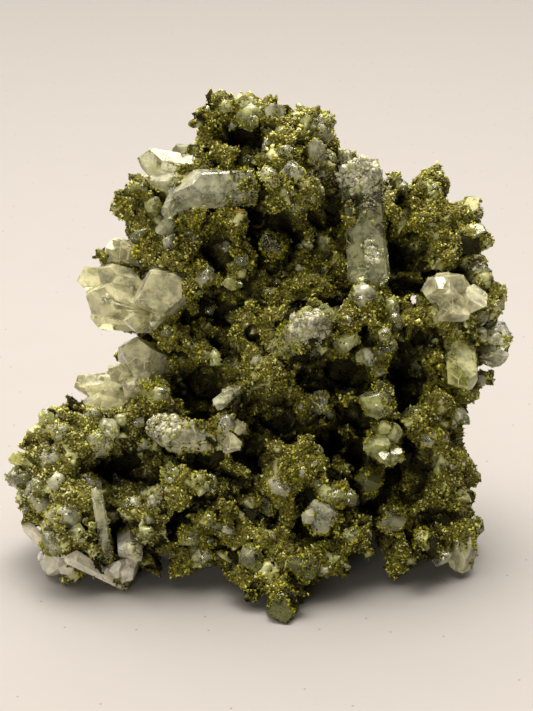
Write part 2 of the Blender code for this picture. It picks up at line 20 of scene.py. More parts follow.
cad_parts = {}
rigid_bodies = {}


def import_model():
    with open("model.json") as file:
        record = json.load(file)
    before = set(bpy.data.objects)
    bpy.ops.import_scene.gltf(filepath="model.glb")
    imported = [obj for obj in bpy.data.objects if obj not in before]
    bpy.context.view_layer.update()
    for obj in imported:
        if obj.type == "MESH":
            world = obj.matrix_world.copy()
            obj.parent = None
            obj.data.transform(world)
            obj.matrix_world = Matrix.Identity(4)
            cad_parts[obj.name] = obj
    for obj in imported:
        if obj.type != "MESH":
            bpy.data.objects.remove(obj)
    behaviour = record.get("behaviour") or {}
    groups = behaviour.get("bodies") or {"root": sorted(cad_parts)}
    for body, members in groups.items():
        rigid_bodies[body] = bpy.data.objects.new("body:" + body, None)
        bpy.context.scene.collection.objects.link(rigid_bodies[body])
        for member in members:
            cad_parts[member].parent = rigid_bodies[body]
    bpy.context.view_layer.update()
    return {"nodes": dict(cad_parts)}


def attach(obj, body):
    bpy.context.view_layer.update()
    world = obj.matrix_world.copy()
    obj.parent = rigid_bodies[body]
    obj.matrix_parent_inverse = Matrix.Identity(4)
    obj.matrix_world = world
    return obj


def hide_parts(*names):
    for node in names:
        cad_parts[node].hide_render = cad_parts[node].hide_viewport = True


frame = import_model()

# Without a seed the noise would be different each run.
noise.seed_set(3)

MM = 0.001

# The seeds of the random numbers of each kind of growth.
SEEDS = {
    "skin": 5,
    "points": 9,
    "rock_druse": 21,
    "quartz_druse": 33,
    "veils": 41,
    "blocks": 61,
    "shards": 71,
    "sugar": 83,
}

# Smooth noise lies mostly this far round this middle.
NOISE_SPREAD = 0.7
NOISE_MIDDLE = 0.5

# Fields of smooth noise that say where things grow: the size of their lumps in mm, and their seed.
# Collars and the coat of quartz add a number of their own for each crystal.
FIELDS = {
    "pits": (6.5, 8),
    "coat": (4.2, 13),
    "fine_coat": (1.4, 14),
    "light_patches": (5.0, 3),
    "collars": (3.0, 40),
    "quartz_coat": (2.2, 0),
    "block_coat": (4.5, 2),
    "fine_block_coat": (1.3, 4),
    "veils": (1.6, 5),
    "sugar": (2.4, 6),
}

# The sight window and the eye behind it, as in part.py.
SIGHT_TILT = math.radians(22)
EYE_DISTANCE = 450.0
WINDOW_WIDTH = 106.6
WINDOW_HEIGHT = 142.2
WINDOW_CENTRE = Vector((1.49, -0.44, 41.9))

# The paper that the cluster stands on, with painted shade that darkens its far end, and with specks of
# dust.
PAPER = (0.278, 0.268, 0.260, 1)
FLOOR_SIZE = 4.0  # in m
PULP_SHADE = 0.8  # of the paper's colour, for what its spots are mixed with
PULP_MOST = 0.06  # how much of that is mixed in
PAINTED_FAR_SHADE = 0.78  # of the paper's colour, as painted shade at its far end
PAINTED_SHADE_SPAN = (0.12, 0.6)  # how far back the painted shade begins and is full, in m
DUST_STEP = 17.0  # from speck to speck, in mm
DUST_SIZE = 0.3  # in mm
DUST_COLOUR = (0.04, 0.03, 0.02, 1)

# The light: a dim ceiling with one wide soft bright patch, and two lamps.
SKY_LOW = (0.032, 0.028, 0.022, 1)
SKY_HIGH = (6.6, 6.14, 5.55, 1)
SKY_WAY = Vector((-0.20, 0.56, 1.0)).normalized()  # where the patch is seen from the cluster
SKY_SPREAD = math.cos(math.radians(66))  # how far from there it ends
SKY_FALL = 1.8  # the power by which it fades
LAMP_COLOUR = (1.0, 0.93, 0.84)
LAMPS = {
    "key": {"at": (0.06, 0.18, 0.76), "size": 0.5, "watts": 7.0},
    "front": {"at": (-0.30, -0.88, 0.13), "size": 0.4, "watts": 5.9},
}

# The skin of the rock: blunt crystals and small buds on the CAD solid, as (how many, radius,
# reach), one skin round all, then pits of this depth in mm, and then, as (size, height) in mm,
# cells with tilted tops and soft relief.
BUDS = (
    (450, (1.2, 2.4), (0.6, 2.2)),
    (900, (0.6, 1.1), (0.3, 1.2)),
)
BUD_LEAN = 0.3
SKIN_GRAIN = 0.8  # the size of the skin's faces, in mm
PIT_DEPTH = 2.4
PIT_LEVEL = 0.38  # the noise under which a pit starts
PIT_FADE = 0.2  # how much lower the noise is where it is deep
CELLS = ((5.2, 1.9), (2.6, 1.1))
CELL_RISE = 0.6  # of the height, from a cell's edge to its top
CELL_LEVEL = 0.7  # the share of that rise that is below the skin
CELL_TILT = 0.9  # of the height, that the tilt lifts a place one size from the middle
PLATE_RIM = 0.35  # how much nearer its own middle than the next a place on the top is, in sizes
RELIEF = ((8.0, 1.0), (2.2, 0.3), (1.0, 0.15))

# The skin is coated with druse, and bare where the noise is low.
BARE = 0.36  # the noise under which it is bare
BARE_PALE = 0.1  # how much higher that is in pale regions
BARE_FADE = 0.2  # how much higher the noise is where it is coated
FINE_COAT = 0.45  # how much the fine field counts beside the coarse one

# How the regions below fade: how much one counts in its middle, and how much less for each half size
# or reach away from there. What is over 1 counts as 1.
HOLLOW_FADE = (1.25, 1)
PALE_FADE = (2.2, 1.8)
STAIN_FADE = (1.3, 1)
CRUSHED_FADE = (2.2, 2)

# The dark hollows of the front, sunk further into the skin than the solid has them, as
# (across, down, forward), (half width, half height, half depth), and how far they are sunk.
HOLLOWS = {
    "crown": ((47.7, 26.5, 5), (4.6, 2.6, 8), 5.0),
    "under_crown": ((51.6, 41.8, 5), (2.2, 2.4, 8), 5.0),
    "upper_left": ((44.5, 62.5, 5), (3.6, 2.6, 9), 5.0),
    "left_edge": ((30.5, 72.5, 4), (1.8, 2.6, 8), 4.0),
    "left": ((41, 77.5, 5), (5, 4.5, 9), 6.0),
    "centre": ((54.5, 85.5, 6), (5.6, 2.6, 9), 6.0),
    "middle": ((66.5, 75, 5), (6.6, 4.8, 10), 7.0),
    "low_middle": ((69.5, 88, 5), (3.6, 5, 10), 7.0),
    "right": ((81.5, 93, 4), (4.8, 7, 11), 7.0),
    "right_low": ((88, 103.5, 4), (4, 1.8, 8), 5.0),
    "slot": ((81, 73.5, 2), (3.2, 4.5, 8), 6.0),
    "rim": ((81.5, 50.2, 0), (4.4, 3.2, 8), 6.0),
    "rim_low": ((81.2, 57.6, 0), (3.4, 2.2, 8), 5.0),
    "rim_top": ((80.6, 40.3, 0), (1.8, 2.4, 6), 4.0),
    "lobe": ((26, 93.6, 6), (9, 4.4, 10), 7.0),
    "lobe_floor": ((23.8, 106.8, 8), (2.6, 2.8, 8), 5.0),
    "foot": ((61.6, 103, 8), (2.2, 5, 9), 6.0),
    "foot_left": ((45.5, 96.5, 8), (3.6, 1.8, 8), 5.0),
}

# Lumps of the rock between those of the CAD solid, as (base), (tip), radius.
LUMPS = (
    ((47, 28, -1), (36.0, 21.4, 3), 3.0),
    ((46, 26, -2), (39.6, 16.8, 1), 2.7),
    ((50, 25, -2), (51.4, 17.4, 0), 2.2),
    ((54, 26, -2), (56.6, 18.4, 0), 2.4),
    ((32, 40, -2), (20.0, 38.6, 0), 2.6),
    ((28, 52, -3), (16.4, 51.0, 0), 2.2),
    ((20, 87, -6), (12.0, 76.6, 0), 3.0),
    ((18, 86, -6), (8.6, 80.4, 0), 2.6),
    ((10, 93, -4), (3.0, 88.4, 0), 2.0),
    ((12, 100, -4), (3.4, 106.4, 0), 2.4),
    ((52, 112, 6), (49.8, 122.8, 13), 2.6),
    ((92, 77, -6), (101.0, 74.4, -2), 2.4),
    ((78, 40, -4), (80.8, 31.4, -2), 2.2),
)

# Blocks and small points of quartz are seen no higher than this in the window.
GROWTH_TOP = 20.0

# The gap right through the rock, along the sight line at this (across, down), with its sizes in mm.
GAP = (83.0, 59.8)
GAP_RADIUS = 1.1
GAP_LENGTH = 100
GAP_EDGE = 0.5  # what the rock's grains leave free round it
GAP_ROOM = 3.4  # how far from its middle buds, blocks and points stay

# How far growth keeps from the quartz and the floor: how far away quartz is looked for, how clear of
# it, and how high above the floor a root has to be, in mm. Buds keep clear by their own radius.
BUD_ROOM = (3, 3)
POINT_ROOM = (2, 1.2, 3)
BLOCK_ROOM = (4, 2.2, 4)

# How open a place is: the share of rays to the sky that meet nothing.
SKY_RAYS = 30  # in all directions
OPEN_REACH = 13.0  # how long they are, in mm
OPEN_START = 0.5  # how high above the skin they start, in mm
OPEN_LEAN = 0.1  # the sine of how steep they are at least

# The druse on the rock, in joined pieces of this many grains.
GRAINS = 140000
GRAINS_A_PIECE = 45000

# The form of a grain, as shares of its size.
GRAIN_LENGTH = (0.4, 1.1)
GRAIN_WIDTH = (0.4, 0.9)
GRAIN_HEIGHT = (0.2, 0.75)
GRAIN_SLOPE = (0.5, 1)  # the height of its low end, as a share of the high one's
GRAIN_ROOT = 0.35
GRAIN_LEAN = 0.35

# The sizes of grains, in mm: the least, how much larger they get, and the power that keeps most of
# them small.
ROCK_GRAINS = (0.42, 0.68, 3)
COAT_GRAINS = (0.42, 0.52, 2)
BLOCK_GRAINS = (0.42, 0.52, 1)
INSIDE_GRAINS = (0.35, 0.40, 1)

# The druse stands in tufts, which are cells of this size in mm and seed.
TUFTS = (1.15, 7)
TUFT_HEIGHT = 0.4  # how much higher a middle stands than a place one size away, in mm
CELL_MIDDLE = 0.45  # how far from a middle the druse is level, in sizes

# How many grains a place of the rock gets, beside one that is coated.
BARE_GRAINS = 0.08
CLOSED_SKY = 0.5  # the openness under which bare places get more
CLOSED_RISE = 3  # how fast they get more from there
CLOSED_MOST = 0.8
HIDDEN_SHARE = 0.15  # of its grains, where it is hidden in quartz
HIDDEN_DEPTH = 0.6  # how deep in quartz that is, in mm
HIDDEN_LOOK = 2  # how far away quartz is looked for, in mm
FOOT_SHARE = 0.05  # of its grains, close to the floor
FOOT_HEIGHT = 0.5  # how high that is, in mm

# How light a grain of the rock is: the least, and how much it gains at random, in light patches, in the
# middle of its tuft and of its lump and under open sky, all painted light and shade, and in pale
# regions.
TONE_LEAST = 0.02
TONE_GAINS = {"random": 0.85, "patch": 0.5, "tuft": 0.65, "lump": 0.3, "sky": 0.35, "pale": 0.24}
PAINTED_LUMP_LEVEL = 0.6  # how far inside its lump, one of the skin's smaller cells, it gains nothing: painted shade nearer the edge, painted light nearer the middle
PAINTED_SKY_LEVEL = 0.45  # how open the sky is where its painted light gains nothing
PAINTED_SKY_MOST = 0.9  # the openness beyond which its painted light gains no more

# In closed hollows the grains get painted shade: their colour is darkened where little sky is open.
PAINTED_SHADE_LEFT = 0.02  # of their colour that the painted shade leaves there
PAINTED_SHADE_SKY = 0.29  # the openness where the painted shade begins to lift
PAINTED_SHADE_FADE = 0.27  # how much more open it is where there is no painted shade

# Tones of the druse from the dark grains, which are mostly painted shade in hollows and gaps, to the
# pale tips, and where each begins.
TONES = (
    (0.00, (0.003, 0.002, 0.0002)),
    (0.25, (0.048, 0.045, 0.0006)),
    (0.50, (0.285, 0.270, 0.005)),
    (0.75, (0.600, 0.577, 0.060)),
    (1.00, (0.840, 0.820, 0.310)),
)

# How light the grains on quartz, on blocks and inside quartz are, as (least, how much more).
COAT_TONE = (0.15, 0.65)
PAINTED_COAT_TUFT = 0.5  # painted light and shade: how much lighter on quartz a middle of a tuft is than a place one size away
BLOCK_TONE = (0.2, 0.65)
INSIDE_TONE = (0.15, 0.6)

# The tone that the grains of pale regions are mixed with, and how much of it.
PALE_TONE = (0.57, 0.56, 0.235)
PALE_SHARE = 0.32

# Regions that are paler than the rest, with more bare quartz, as (across, down, forward),
# (half width, half height, half depth), and how much paler.
PALE = (
    ((17, 97, 5), (22, 20, 18), 1.0),
    ((46, 92, 8), (10, 8, 12), 0.5),
    ((52, 108, 8), (12, 8, 12), 0.3),
    ((56, 30, 5), (11, 13, 14), 0.5),
    ((71, 34, 2), (7, 7, 10), 0.8),
    ((97, 58, 2), (8, 22, 12), 1.0),
    ((27, 50, 2), (8, 9, 12), 0.6),
    ((62, 66, 10), (10, 6, 10), 0.4),
    ((50, 76, 5), (13, 13, 12), 0.4),
    ((84, 100, 4), (12, 16, 12), 0.3),
)

# Stains in the druse, as ((across, down, forward), reach in mm, colour).
STAINS = (
    ((27.2, 49.0, 3), 2.8, (0.60, 0.55, 0.02)),
    ((19.6, 83.4, 7), 4.6, (0.62, 0.64, 0.13)),
    ((40.6, 43.6, 8), 2.4, (0.50, 0.46, 0.02)),
    ((48.0, 42.0, 8), 1.8, (0.26, 0.12, 0.02)),
    ((23.6, 106.6, 4), 3.4, (0.10, 0.028, 0.012)),
    ((31.4, 112.0, 3), 3.0, (0.12, 0.035, 0.014)),
    ((64.0, 73.4, 0), 3.0, (0.16, 0.06, 0.02)),
    ((71.6, 33.6, 4), 8.0, (0.84, 0.83, 0.70)),
    ((74.0, 49.2, 9), 4.4, (0.85, 0.86, 0.78)),
    ((61.6, 65.6, 14), 4.8, (0.55, 0.57, 0.33)),
    ((25.0, 116.0, 8), 2.6, (0.78, 0.76, 0.62)),
    ((26.4, 111.8, 9), 4.2, (0.80, 0.76, 0.70)),
    ((30.4, 99.8, 9), 2.0, (0.66, 0.66, 0.56)),
    ((4.6, 97.0, 0), 4.5, (0.52, 0.53, 0.38)),
    ((9.0, 90.0, 3), 3.0, (0.52, 0.53, 0.36)),
    ((27.6, 102.0, 3), 3.0, (0.10, 0.03, 0.014)),
)

# The quartz crystals of part.py with their looks: tint, share of druse on them, and their
# crystals as (base), (tip), radius.
QUARTZ = {
    "quartz_upper_left_group": ("clear", 0.12, [
        ((50, 37.4, 2), (31.6, 38.6, 9), 4.9),
        ((42, 34.6, 0), (26.6, 31.6, 3), 3.7),
        ((45, 38, -3), (33.6, 27.4, -1), 3.4),
        ((36, 37, 4), (32.6, 45, 6), 1.9),
        ((38, 42, 2), (30.2, 47.6, 4), 2.3),
    ]),
    "quartz_left_group": ("green", 0.05, [
        ((32, 53, -4), (18.8, 49, 1), 3.4),
        ((33, 63, -7), (14.8, 58.2, 3), 5.8),
        ((38, 57, -4), (25.4, 61.4, 12), 6.6),
    ]),
    "quartz_lower_left_group": ("clear", 0.05, [
        ((33, 75, -6), (22.4, 70.4, 7), 5.6),
        ((32, 82, -6), (15.4, 79.4, 1), 3.4),
    ]),
    "quartz_far_left_bud": ("yellow", 0.3, [((8, 93, -2), (0.5, 91, 0), 2.0)]),
    "quartz_lobe_rod": ("smoky", 0.0, [((21.4, 112, 5), (19, 97.2, 14), 1.5)]),
    "quartz_pink_group": ("pink", 0.0, [
        ((14, 107, -5), (7.6, 116.8, -1), 3.7),
        ((13, 113, -4), (4, 103.6, -1), 1.8),
    ]),
    "quartz_lobe_foot_group": ("pink", 0.05, [
        ((25, 118, 2), (12.6, 110.6, 9), 2.3),
        ((26, 107, -3), (26.4, 112, 9), 3.7),
        ((27, 111, 0), (24.6, 116.8, 7), 2.3),
    ]),
    "quartz_bar_group": ("green", 0.4, [
        ((43.4, 88, 3), (27.4, 85, 12), 4.1),
        ((48.4, 86.4, -2), (47.4, 85, 10), 2.1),
        ((46.6, 87.6, -3), (46, 88.8, 11), 2.6),
    ]),
    "quartz_slanted_shard": ("clear", 0.0, [((48, 77.6, 2), (43, 81.4, 10), 1.9)]),
    "quartz_window": ("clear", 0.6, [((55, 50.4, -5), (54.6, 48.2, 9), 3.1)]),
    "quartz_centre_bar": ("green", 0.5, [((53, 71.4, 4), (68, 60.6, 14), 4.2)]),
    "quartz_column_group": ("clear", 0.08, [
        ((73, 38, -4), (74, 61, 7), 4.9),
        ((73, 42, -8), (70.6, 28.4, 3), 5.4),
    ]),
    "quartz_right_top_group": ("yellow", 0.55, [
        ((91, 48, -5), (96, 38.6, -1), 2.8),
        ((90, 48, -5), (99, 46, 3), 3.6),
    ]),
    "quartz_right_clear": ("clear", 0.1, [((88, 60, -8), (91.6, 57.4, 10), 6.0)]),
    "quartz_yellow_gem": ("yellow", 0.1, [((91.6, 68, -2), (92.8, 79.4, 9), 3.8)]),
    "quartz_right_grey": ("clear", 0.1, [((94, 69.6, -12), (101.8, 72.4, -3), 2.5)]),
    "quartz_pale_rosette": ("green", 0.5, [
        ((77, 89, -5), (74.6, 89, 13), 3.2),
        ((77, 89, -4), (79, 86, 11), 2.4),
        ((77, 89, -4), (79, 92, 11), 2.6),
    ]),
    "quartz_green_glass": ("smoky", 0.6, [((73, 97, -12), (74.2, 95.6, 9), 3.0)]),
    "quartz_front_gem": ("green", 0.42, [((65, 104, 0), (64.2, 102.4, 17), 4.3)]),
    "quartz_smoky_bud": ("smoky", 0.6, [((54.6, 101, -5), (54.2, 100.4, 8), 2.9)]),
    "quartz_veiled_bud": ("green", 0.8, [((71.4, 107.6, -2), (70, 107.2, 14), 2.2)]),
    "quartz_round_window": ("clear", 0.5, [((50.6, 111, 0), (50.2, 111.4, 14), 2.8)]),
    "quartz_low_group": ("green", 0.7, [
        ((60.4, 112, 0), (60.8, 113.2, 16), 3.6),
        ((57.4, 111, 2), (56, 125.6, 18), 3.8),
    ]),
    "quartz_leaf_window": ("smoky", 0.6, [((79.4, 102, -5), (77.8, 105.4, 10), 3.2)]),
    "quartz_olive_bud": ("yellow", 0.8, [((84, 106, -4), (85.4, 108.6, 9), 2.8)]),
    "quartz_right_foot_tip": ("yellow", 0.35, [((92, 105, -5), (93, 115.8, 2), 3.6)]),
    "quartz_crown_window": ("clear", 0.7, [((54.6, 28, -5), (55, 20.2, 4), 2.9)]),
    "quartz_crown_facet": ("clear", 0.6, [((61.6, 33, -3), (63.8, 28.6, 9), 2.9)]),
}

# Crystals that the photo shows between the ones of part.py, joined with them.
BETWEEN = {
    "quartz_upper_left_group": [
        ((46, 35, -2), (28.4, 36.4, 5), 3.6),
        ((40, 40, 2), (33.4, 43.6, 7), 2.4),
    ],
    "quartz_left_group": [
        ((34, 58, -6), (18.4, 54.2, 2), 3.6),
        ((34, 64, -3), (24, 64.4, 7), 3.0),
        ((30, 57, -6), (13.2, 55.8, 0), 3.2),
        ((30, 64, -6), (15.6, 62.6, 0), 3.2),
    ],
    "quartz_lower_left_group": [
        ((34, 78, -6), (22.6, 76.6, 5), 3.2),
        ((34, 75.6, -7), (13.8, 77.6, 0), 3.0),
    ],
    "quartz_pink_group": [
        ((17, 111, -3), (6.4, 111.0, 1), 3.4),
        ((15, 108, -3), (9.6, 116.2, 2), 3.2),
        ((17, 113, -1), (10.8, 113.4, 4), 2.6),
    ],
    "quartz_lobe_foot_group": [((26, 113, 0), (21.0, 114.4, 8), 2.4)],
    "quartz_right_clear": [
        ((92, 64, -4), (89.6, 54.0, 8), 3.6),
        ((88, 58, -8), (87.4, 58.6, 9.4), 4.4),
        ((94, 60, -8), (93.8, 60.2, 8.6), 4.2),
        ((90, 62, -8), (90.4, 61.8, 9.4), 4.2),
    ],
    "quartz_bar_group": [((44, 88.4, 2), (32, 88.6, 10), 3.0)],
    "quartz_pale_rosette": [
        ((77, 89, -4), (76.6, 85.0, 12), 1.8),
        ((77, 89, -4), (76.4, 91.6, 13), 1.6),
    ],
    "quartz_centre_bar": [((56, 71, 3), (64, 60.4, 12), 3.2)],
}

# Quartz that is crushed white, or overgrown with fine white grains, as ((across, down, forward),
# reach in mm).
CRUSHED = (
    ((74.0, 49.2, 9), 4.4),
    ((71.6, 33.6, 4), 7.0),
    ((27.0, 111.6, 9), 4.0),
    ((25.0, 116.0, 8), 2.4),
    ((61.6, 65.6, 14), 5.5),
    ((32.0, 84.6, 12), 4.6),
)

# The fine crystals on crushed quartz, with their sizes in mm.
SUGAR = 2.0  # for each square mm
SUGAR_RADIUS = (0.35, 1.0)
SUGAR_REACH = (0.2, 0.9)
SUGAR_LEAN = 0.5
SUGAR_TINTS = {"clear": 0.8, "green": 1}  # the share up to which they are of each tint
SUGAR_LOOKS = {"clear": "milky"}

# Quartz that looks different from the glass of its own tint.
LOOKS = {
    "quartz_column_group": "grey",
    "quartz_lobe_rod": "clear",
    "quartz_upper_left_group": "pale",
    "quartz_left_group": "milky",
    "quartz_lower_left_group": "milky",
    "quartz_bar_group": "milky",
    "quartz_low_group": "smoky",
    "quartz_front_gem": "pale",
    "quartz_right_clear": "milky",
    "quartz_right_foot_tip": "milky",
    "quartz_round_window": "grey",
    "quartz_window": "grey",
    "quartz_leaf_window": "grey",
}

# Smaller quartz crystals that the photo shows, too small for part.py: tint, share of druse, where
# they are seen as (across, down), the way they point as (right, up, near), radius and reach.
SHARDS = {
    "crown_peak": ("green", 0.35, (44.8, 20.2), (-0.3, 1.0, 0.4), 1.9, 1.6),
    "crown_left_face": ("clear", 0.0, (46.3, 24.4), (-0.3, 0.2, 1.0), 1.5, 1.0),
    "crown_inner": ("smoky", 0.0, (49.8, 31.2), (0.2, 0.3, 1.0), 2.4, 2.2),
    "crown_striped": ("clear", 0.0, (53.4, 28.7), (0.1, 0.7, 0.9), 1.3, 1.8),
    "crown_round": ("green", 0.25, (58.6, 32.5), (0.2, 0.3, 1.0), 2.3, 1.2),
    "crown_low": ("clear", 0.2, (55.4, 37.0), (-0.5, -0.1, 1.0), 1.9, 1.4),
    "crown_foot": ("green", 0.35, (62.4, 40.6), (0.3, -0.3, 1.0), 2.4, 1.4),
    "crown_side": ("clear", 0.1, (64.6, 35.2), (0.7, 0.0, 0.9), 1.8, 1.2),
    "skirt": ("green", 0.8, (42.6, 41.6), (-0.2, -0.4, 1.0), 3.6, 2.4),
    "skirt_left": ("yellow", 0.6, (38.0, 42.6), (-0.5, -0.4, 1.0), 2.4, 2.0),
    "silver_left": ("clear", 0.1, (34.0, 48.4), (-0.2, 0.3, 1.0), 2.1, 1.8),
    "silver_middle": ("clear", 0.1, (38.4, 48.2), (0.3, 0.4, 1.0), 1.6, 1.8),
    "clear_bud": ("clear", 0.1, (45.0, 49.4), (-0.4, -0.2, 1.0), 1.6, 1.8),
    "small_chip": ("clear", 0.0, (60.1, 53.7), (0.4, 0.2, 1.0), 1.4, 1.6),
    "grey_prism": ("smoky", 0.0, (42.0, 62.0), (0.4, -0.7, 0.8), 1.7, 2.4),
    "brown_face": ("smoky", 0.1, (41.0, 66.4), (-0.1, -0.5, 1.0), 2.6, 1.6),
    "pale_chip": ("clear", 0.0, (49.0, 66.8), (0.2, 0.2, 1.0), 1.0, 1.2),
    "white_sliver": ("clear", 0.0, (47.0, 73.0), (0.9, 0.5, 0.6), 0.9, 2.6),
    "white_chip": ("clear", 0.0, (51.2, 72.0), (0.6, 0.6, 0.7), 1.0, 1.6),
    "yellow_chip": ("yellow", 0.0, (51.2, 74.9), (0.2, -0.2, 1.0), 1.3, 1.0),
    "olive_face": ("smoky", 0.15, (53.0, 79.4), (0.0, 0.3, 1.0), 4.0, 0.8),
    "pointed_left": ("green", 0.35, (31.4, 78.6), (0.8, -0.3, 0.6), 2.8, 5.0),
    "lobe_block": ("green", 0.1, (12.2, 85.8), (-0.3, 0.4, 1.0), 2.0, 1.8),
    "edge_upper": ("clear", 0.3, (3.6, 93.2), (-0.8, 0.3, 0.7), 1.9, 1.6),
    "edge_middle": ("clear", 0.25, (5.6, 97.6), (-0.6, 0.0, 1.0), 2.2, 1.8),
    "edge_lower": ("clear", 0.3, (4.4, 102.2), (-0.8, -0.3, 0.8), 1.9, 1.4),
    "edge_foot": ("clear", 0.3, (8.2, 107.6), (-0.5, -0.5, 0.8), 1.8, 1.4),
    "hollow_bud": ("clear", 0.0, (30.5, 100.4), (0.1, 0.8, 0.7), 1.4, 2.6),
    "pentagon": ("clear", 0.0, (22.8, 103.0), (0.2, 0.3, 1.0), 1.3, 1.4),
    "lobe_middle": ("green", 0.35, (37.4, 97.0), (0.1, 0.2, 1.0), 3.2, 1.6),
    "ridge": ("clear", 0.35, (45.2, 86.0), (0.1, 0.9, 0.5), 2.3, 5.5),
    "ridge_facet": ("clear", 0.0, (44.8, 79.9), (-0.4, 0.5, 1.0), 1.3, 1.6),
    "pale_diagonal": ("clear", 0.3, (56.0, 97.4), (0.6, -0.5, 0.7), 2.4, 4.0),
    "centre_lump": ("clear", 0.5, (58.0, 88.8), (-0.5, 0.4, 1.0), 2.6, 1.8),
    "centre_point": ("green", 0.3, (66.6, 98.0), (0.3, 0.6, 0.9), 2.8, 2.2),
    "low_sliver": ("clear", 0.0, (64.8, 114.0), (0.8, 0.4, 0.7), 1.2, 2.0),
    "low_left": ("clear", 0.2, (45.0, 106.4), (-0.3, -0.3, 1.0), 1.9, 1.6),
    "foot_pale": ("clear", 0.2, (40.4, 111.4), (-0.4, -0.4, 1.0), 2.2, 1.6),
    "slender": ("clear", 0.0, (90.8, 84.8), (0.1, 1.0, 0.4), 0.7, 1.8),
    "gem_neighbour": ("clear", 0.0, (94.4, 71.0), (0.4, 0.4, 1.0), 1.1, 1.4),
    "dark_prism": ("smoky", 0.0, (83.4, 73.0), (0.1, 0.9, 0.6), 1.8, 3.0),
    "white_speck": ("clear", 0.0, (77.7, 78.6), (-0.2, 0.5, 1.0), 1.0, 1.4),
    "dim_speck": ("clear", 0.0, (60.2, 81.0), (0.2, 0.4, 1.0), 1.1, 1.2),
    "pale_druse_lump": ("green", 0.4, (75.8, 73.6), (-0.1, 0.3, 1.0), 2.3, 1.8),
    "yellow_window": ("yellow", 0.2, (77.0, 81.8), (0.4, 0.6, 0.8), 2.4, 1.8),
    "bright_triangle": ("clear", 0.1, (74.2, 57.6), (0.6, 0.5, 0.8), 3.2, 2.4),
    "edge_top": ("yellow", 0.35, (97.4, 41.4), (0.6, 0.5, 0.8), 2.2, 1.6),
    "edge_right": ("yellow", 0.35, (98.0, 55.6), (0.8, 0.2, 0.7), 2.7, 1.6),
    "edge_mid": ("yellow", 0.2, (100.4, 61.0), (0.9, 0.0, 0.6), 1.9, 1.4),
    "edge_low": ("clear", 0.1, (97.0, 75.8), (0.8, -0.2, 0.7), 1.8, 1.4),
    "rim_low": ("clear", 0.1, (93.4, 92.0), (0.8, 0.3, 0.8), 1.6, 1.4),
    "right_tip": ("clear", 0.1, (100.6, 66.4), (0.9, 0.2, 0.4), 1.6, 2.2),
}

# How deep a shard's root is in the rock, as a share of its radius.
SHARD_SUNK = 1.1

# Blocky quartz crystals that are half grown over, all over the cluster, with their sizes in mm.
BLOCKS = 210
BLOCK_RADIUS = (1.1, 1.6, 1.4)  # the least, how much larger, and the power
BLOCK_REACH = (0.3, 1.6)
BLOCK_BEHIND = 0.6  # how much larger they are at the back
BLOCK_LEAN = 0.55
BLOCK_SKY = 0.3  # the openness from which they grow
BLOCK_PALE = (0.6, 2.4)  # how many there are, and how many more in pale regions
BLOCK_TINTS = {"clear": 0.3, "green": 0.75, "smoky": 1}  # the share up to which they are of each
BLOCK_LIGHT = 0.6  # how much lighter their tints are in pale regions
BLOCK_DENSITY = 3.5  # grains for each square mm
BLOCK_COAT = 0.5  # the noise under which they are coated
BLOCK_FINE = 0.4  # how much the fine field counts beside the coarse one
BLOCK_DEEP = 0.2  # how deep in the rock a grain may be, in mm

# Small quartz crystals that stand all over the cluster, in the same way.
POINTS = 320
POINT_RADIUS = (0.5, 1.0, 1.6)
POINT_REACH = (0.8, 2.2)
POINT_STRETCH = (0.8, 1.2)  # how much of that the thin and the thick ones reach
POINT_LEAN = 0.4
POINT_SKY = 0.25
POINT_TINTS = {"clear": 0.15, "green": 0.55, "smoky": 1}

# Colours of the druse's mottle, of the painted shade that darkens the rock's closed hollows, of its dust
# from dark to light, and of its bare glass, where it is dark and where it is light, in plain and in pale
# regions.
DRUSE_MOTTLE = (0.02, 0.018, 0.001, 1)
PAINTED_HOLLOW_SHADE = (0.005, 0.005, 0.001, 1)
DUST_TONES = ((0.003, 0.002, 0.0003, 1), (0.19, 0.175, 0.018, 1))
DARK_GLASS = ((0.15, 0.16, 0.045, 1), (0.33, 0.34, 0.11, 1))
LIGHT_GLASS = ((0.44, 0.45, 0.22, 1), (0.62, 0.61, 0.36, 1))

# Colours of the moss of epidote in quartz, and of the white flakes.
MOSS = (0.22, 0.23, 0.05, 1)
FLAKE_TONES = ((0.86, 0.86, 0.76, 1), (0.62, 0.64, 0.48, 1))

# Each look of the quartz: body colour, milky colour, absorbed colour and its density per metre, and
# how much light goes through it where it is clear and where it is milky.
GLASS = {
    "clear": ((0.88, 0.90, 0.68, 1), (0.68, 0.67, 0.46, 1), (0.84, 0.88, 0.56, 1), 40, (0.94, 0.46)),
    "milky": ((0.92, 0.90, 0.61, 1), (0.83, 0.80, 0.53, 1), (0.84, 0.88, 0.56, 1), 30, (0.84, 0.44)),
    "pale": ((0.90, 0.91, 0.67, 1), (0.74, 0.74, 0.54, 1), (0.84, 0.88, 0.56, 1), 30, (0.90, 0.56)),
    "grey": ((0.62, 0.64, 0.38, 1), (0.56, 0.56, 0.35, 1), (0.60, 0.65, 0.30, 1), 70, (0.97, 0.68)),
    "green": ((0.80, 0.83, 0.40, 1), (0.60, 0.61, 0.29, 1), (0.74, 0.82, 0.32, 1), 55, (0.94, 0.46)),
    "yellow": ((0.84, 0.85, 0.38, 1), (0.78, 0.76, 0.36, 1), (0.80, 0.82, 0.20, 1), 60, (0.90, 0.45)),
    "pink": ((1.00, 0.89, 0.76, 1), (1.00, 0.87, 0.73, 1), (0.92, 0.80, 0.62, 1), 15, (0.60, 0.30)),
    "smoky": ((0.60, 0.62, 0.32, 1), (0.27, 0.28, 0.11, 1), (0.50, 0.55, 0.20, 1), 90, (0.97, 0.65)),
}
QUARTZ_IOR = 1.544
EPIDOTE_IOR = 1.74

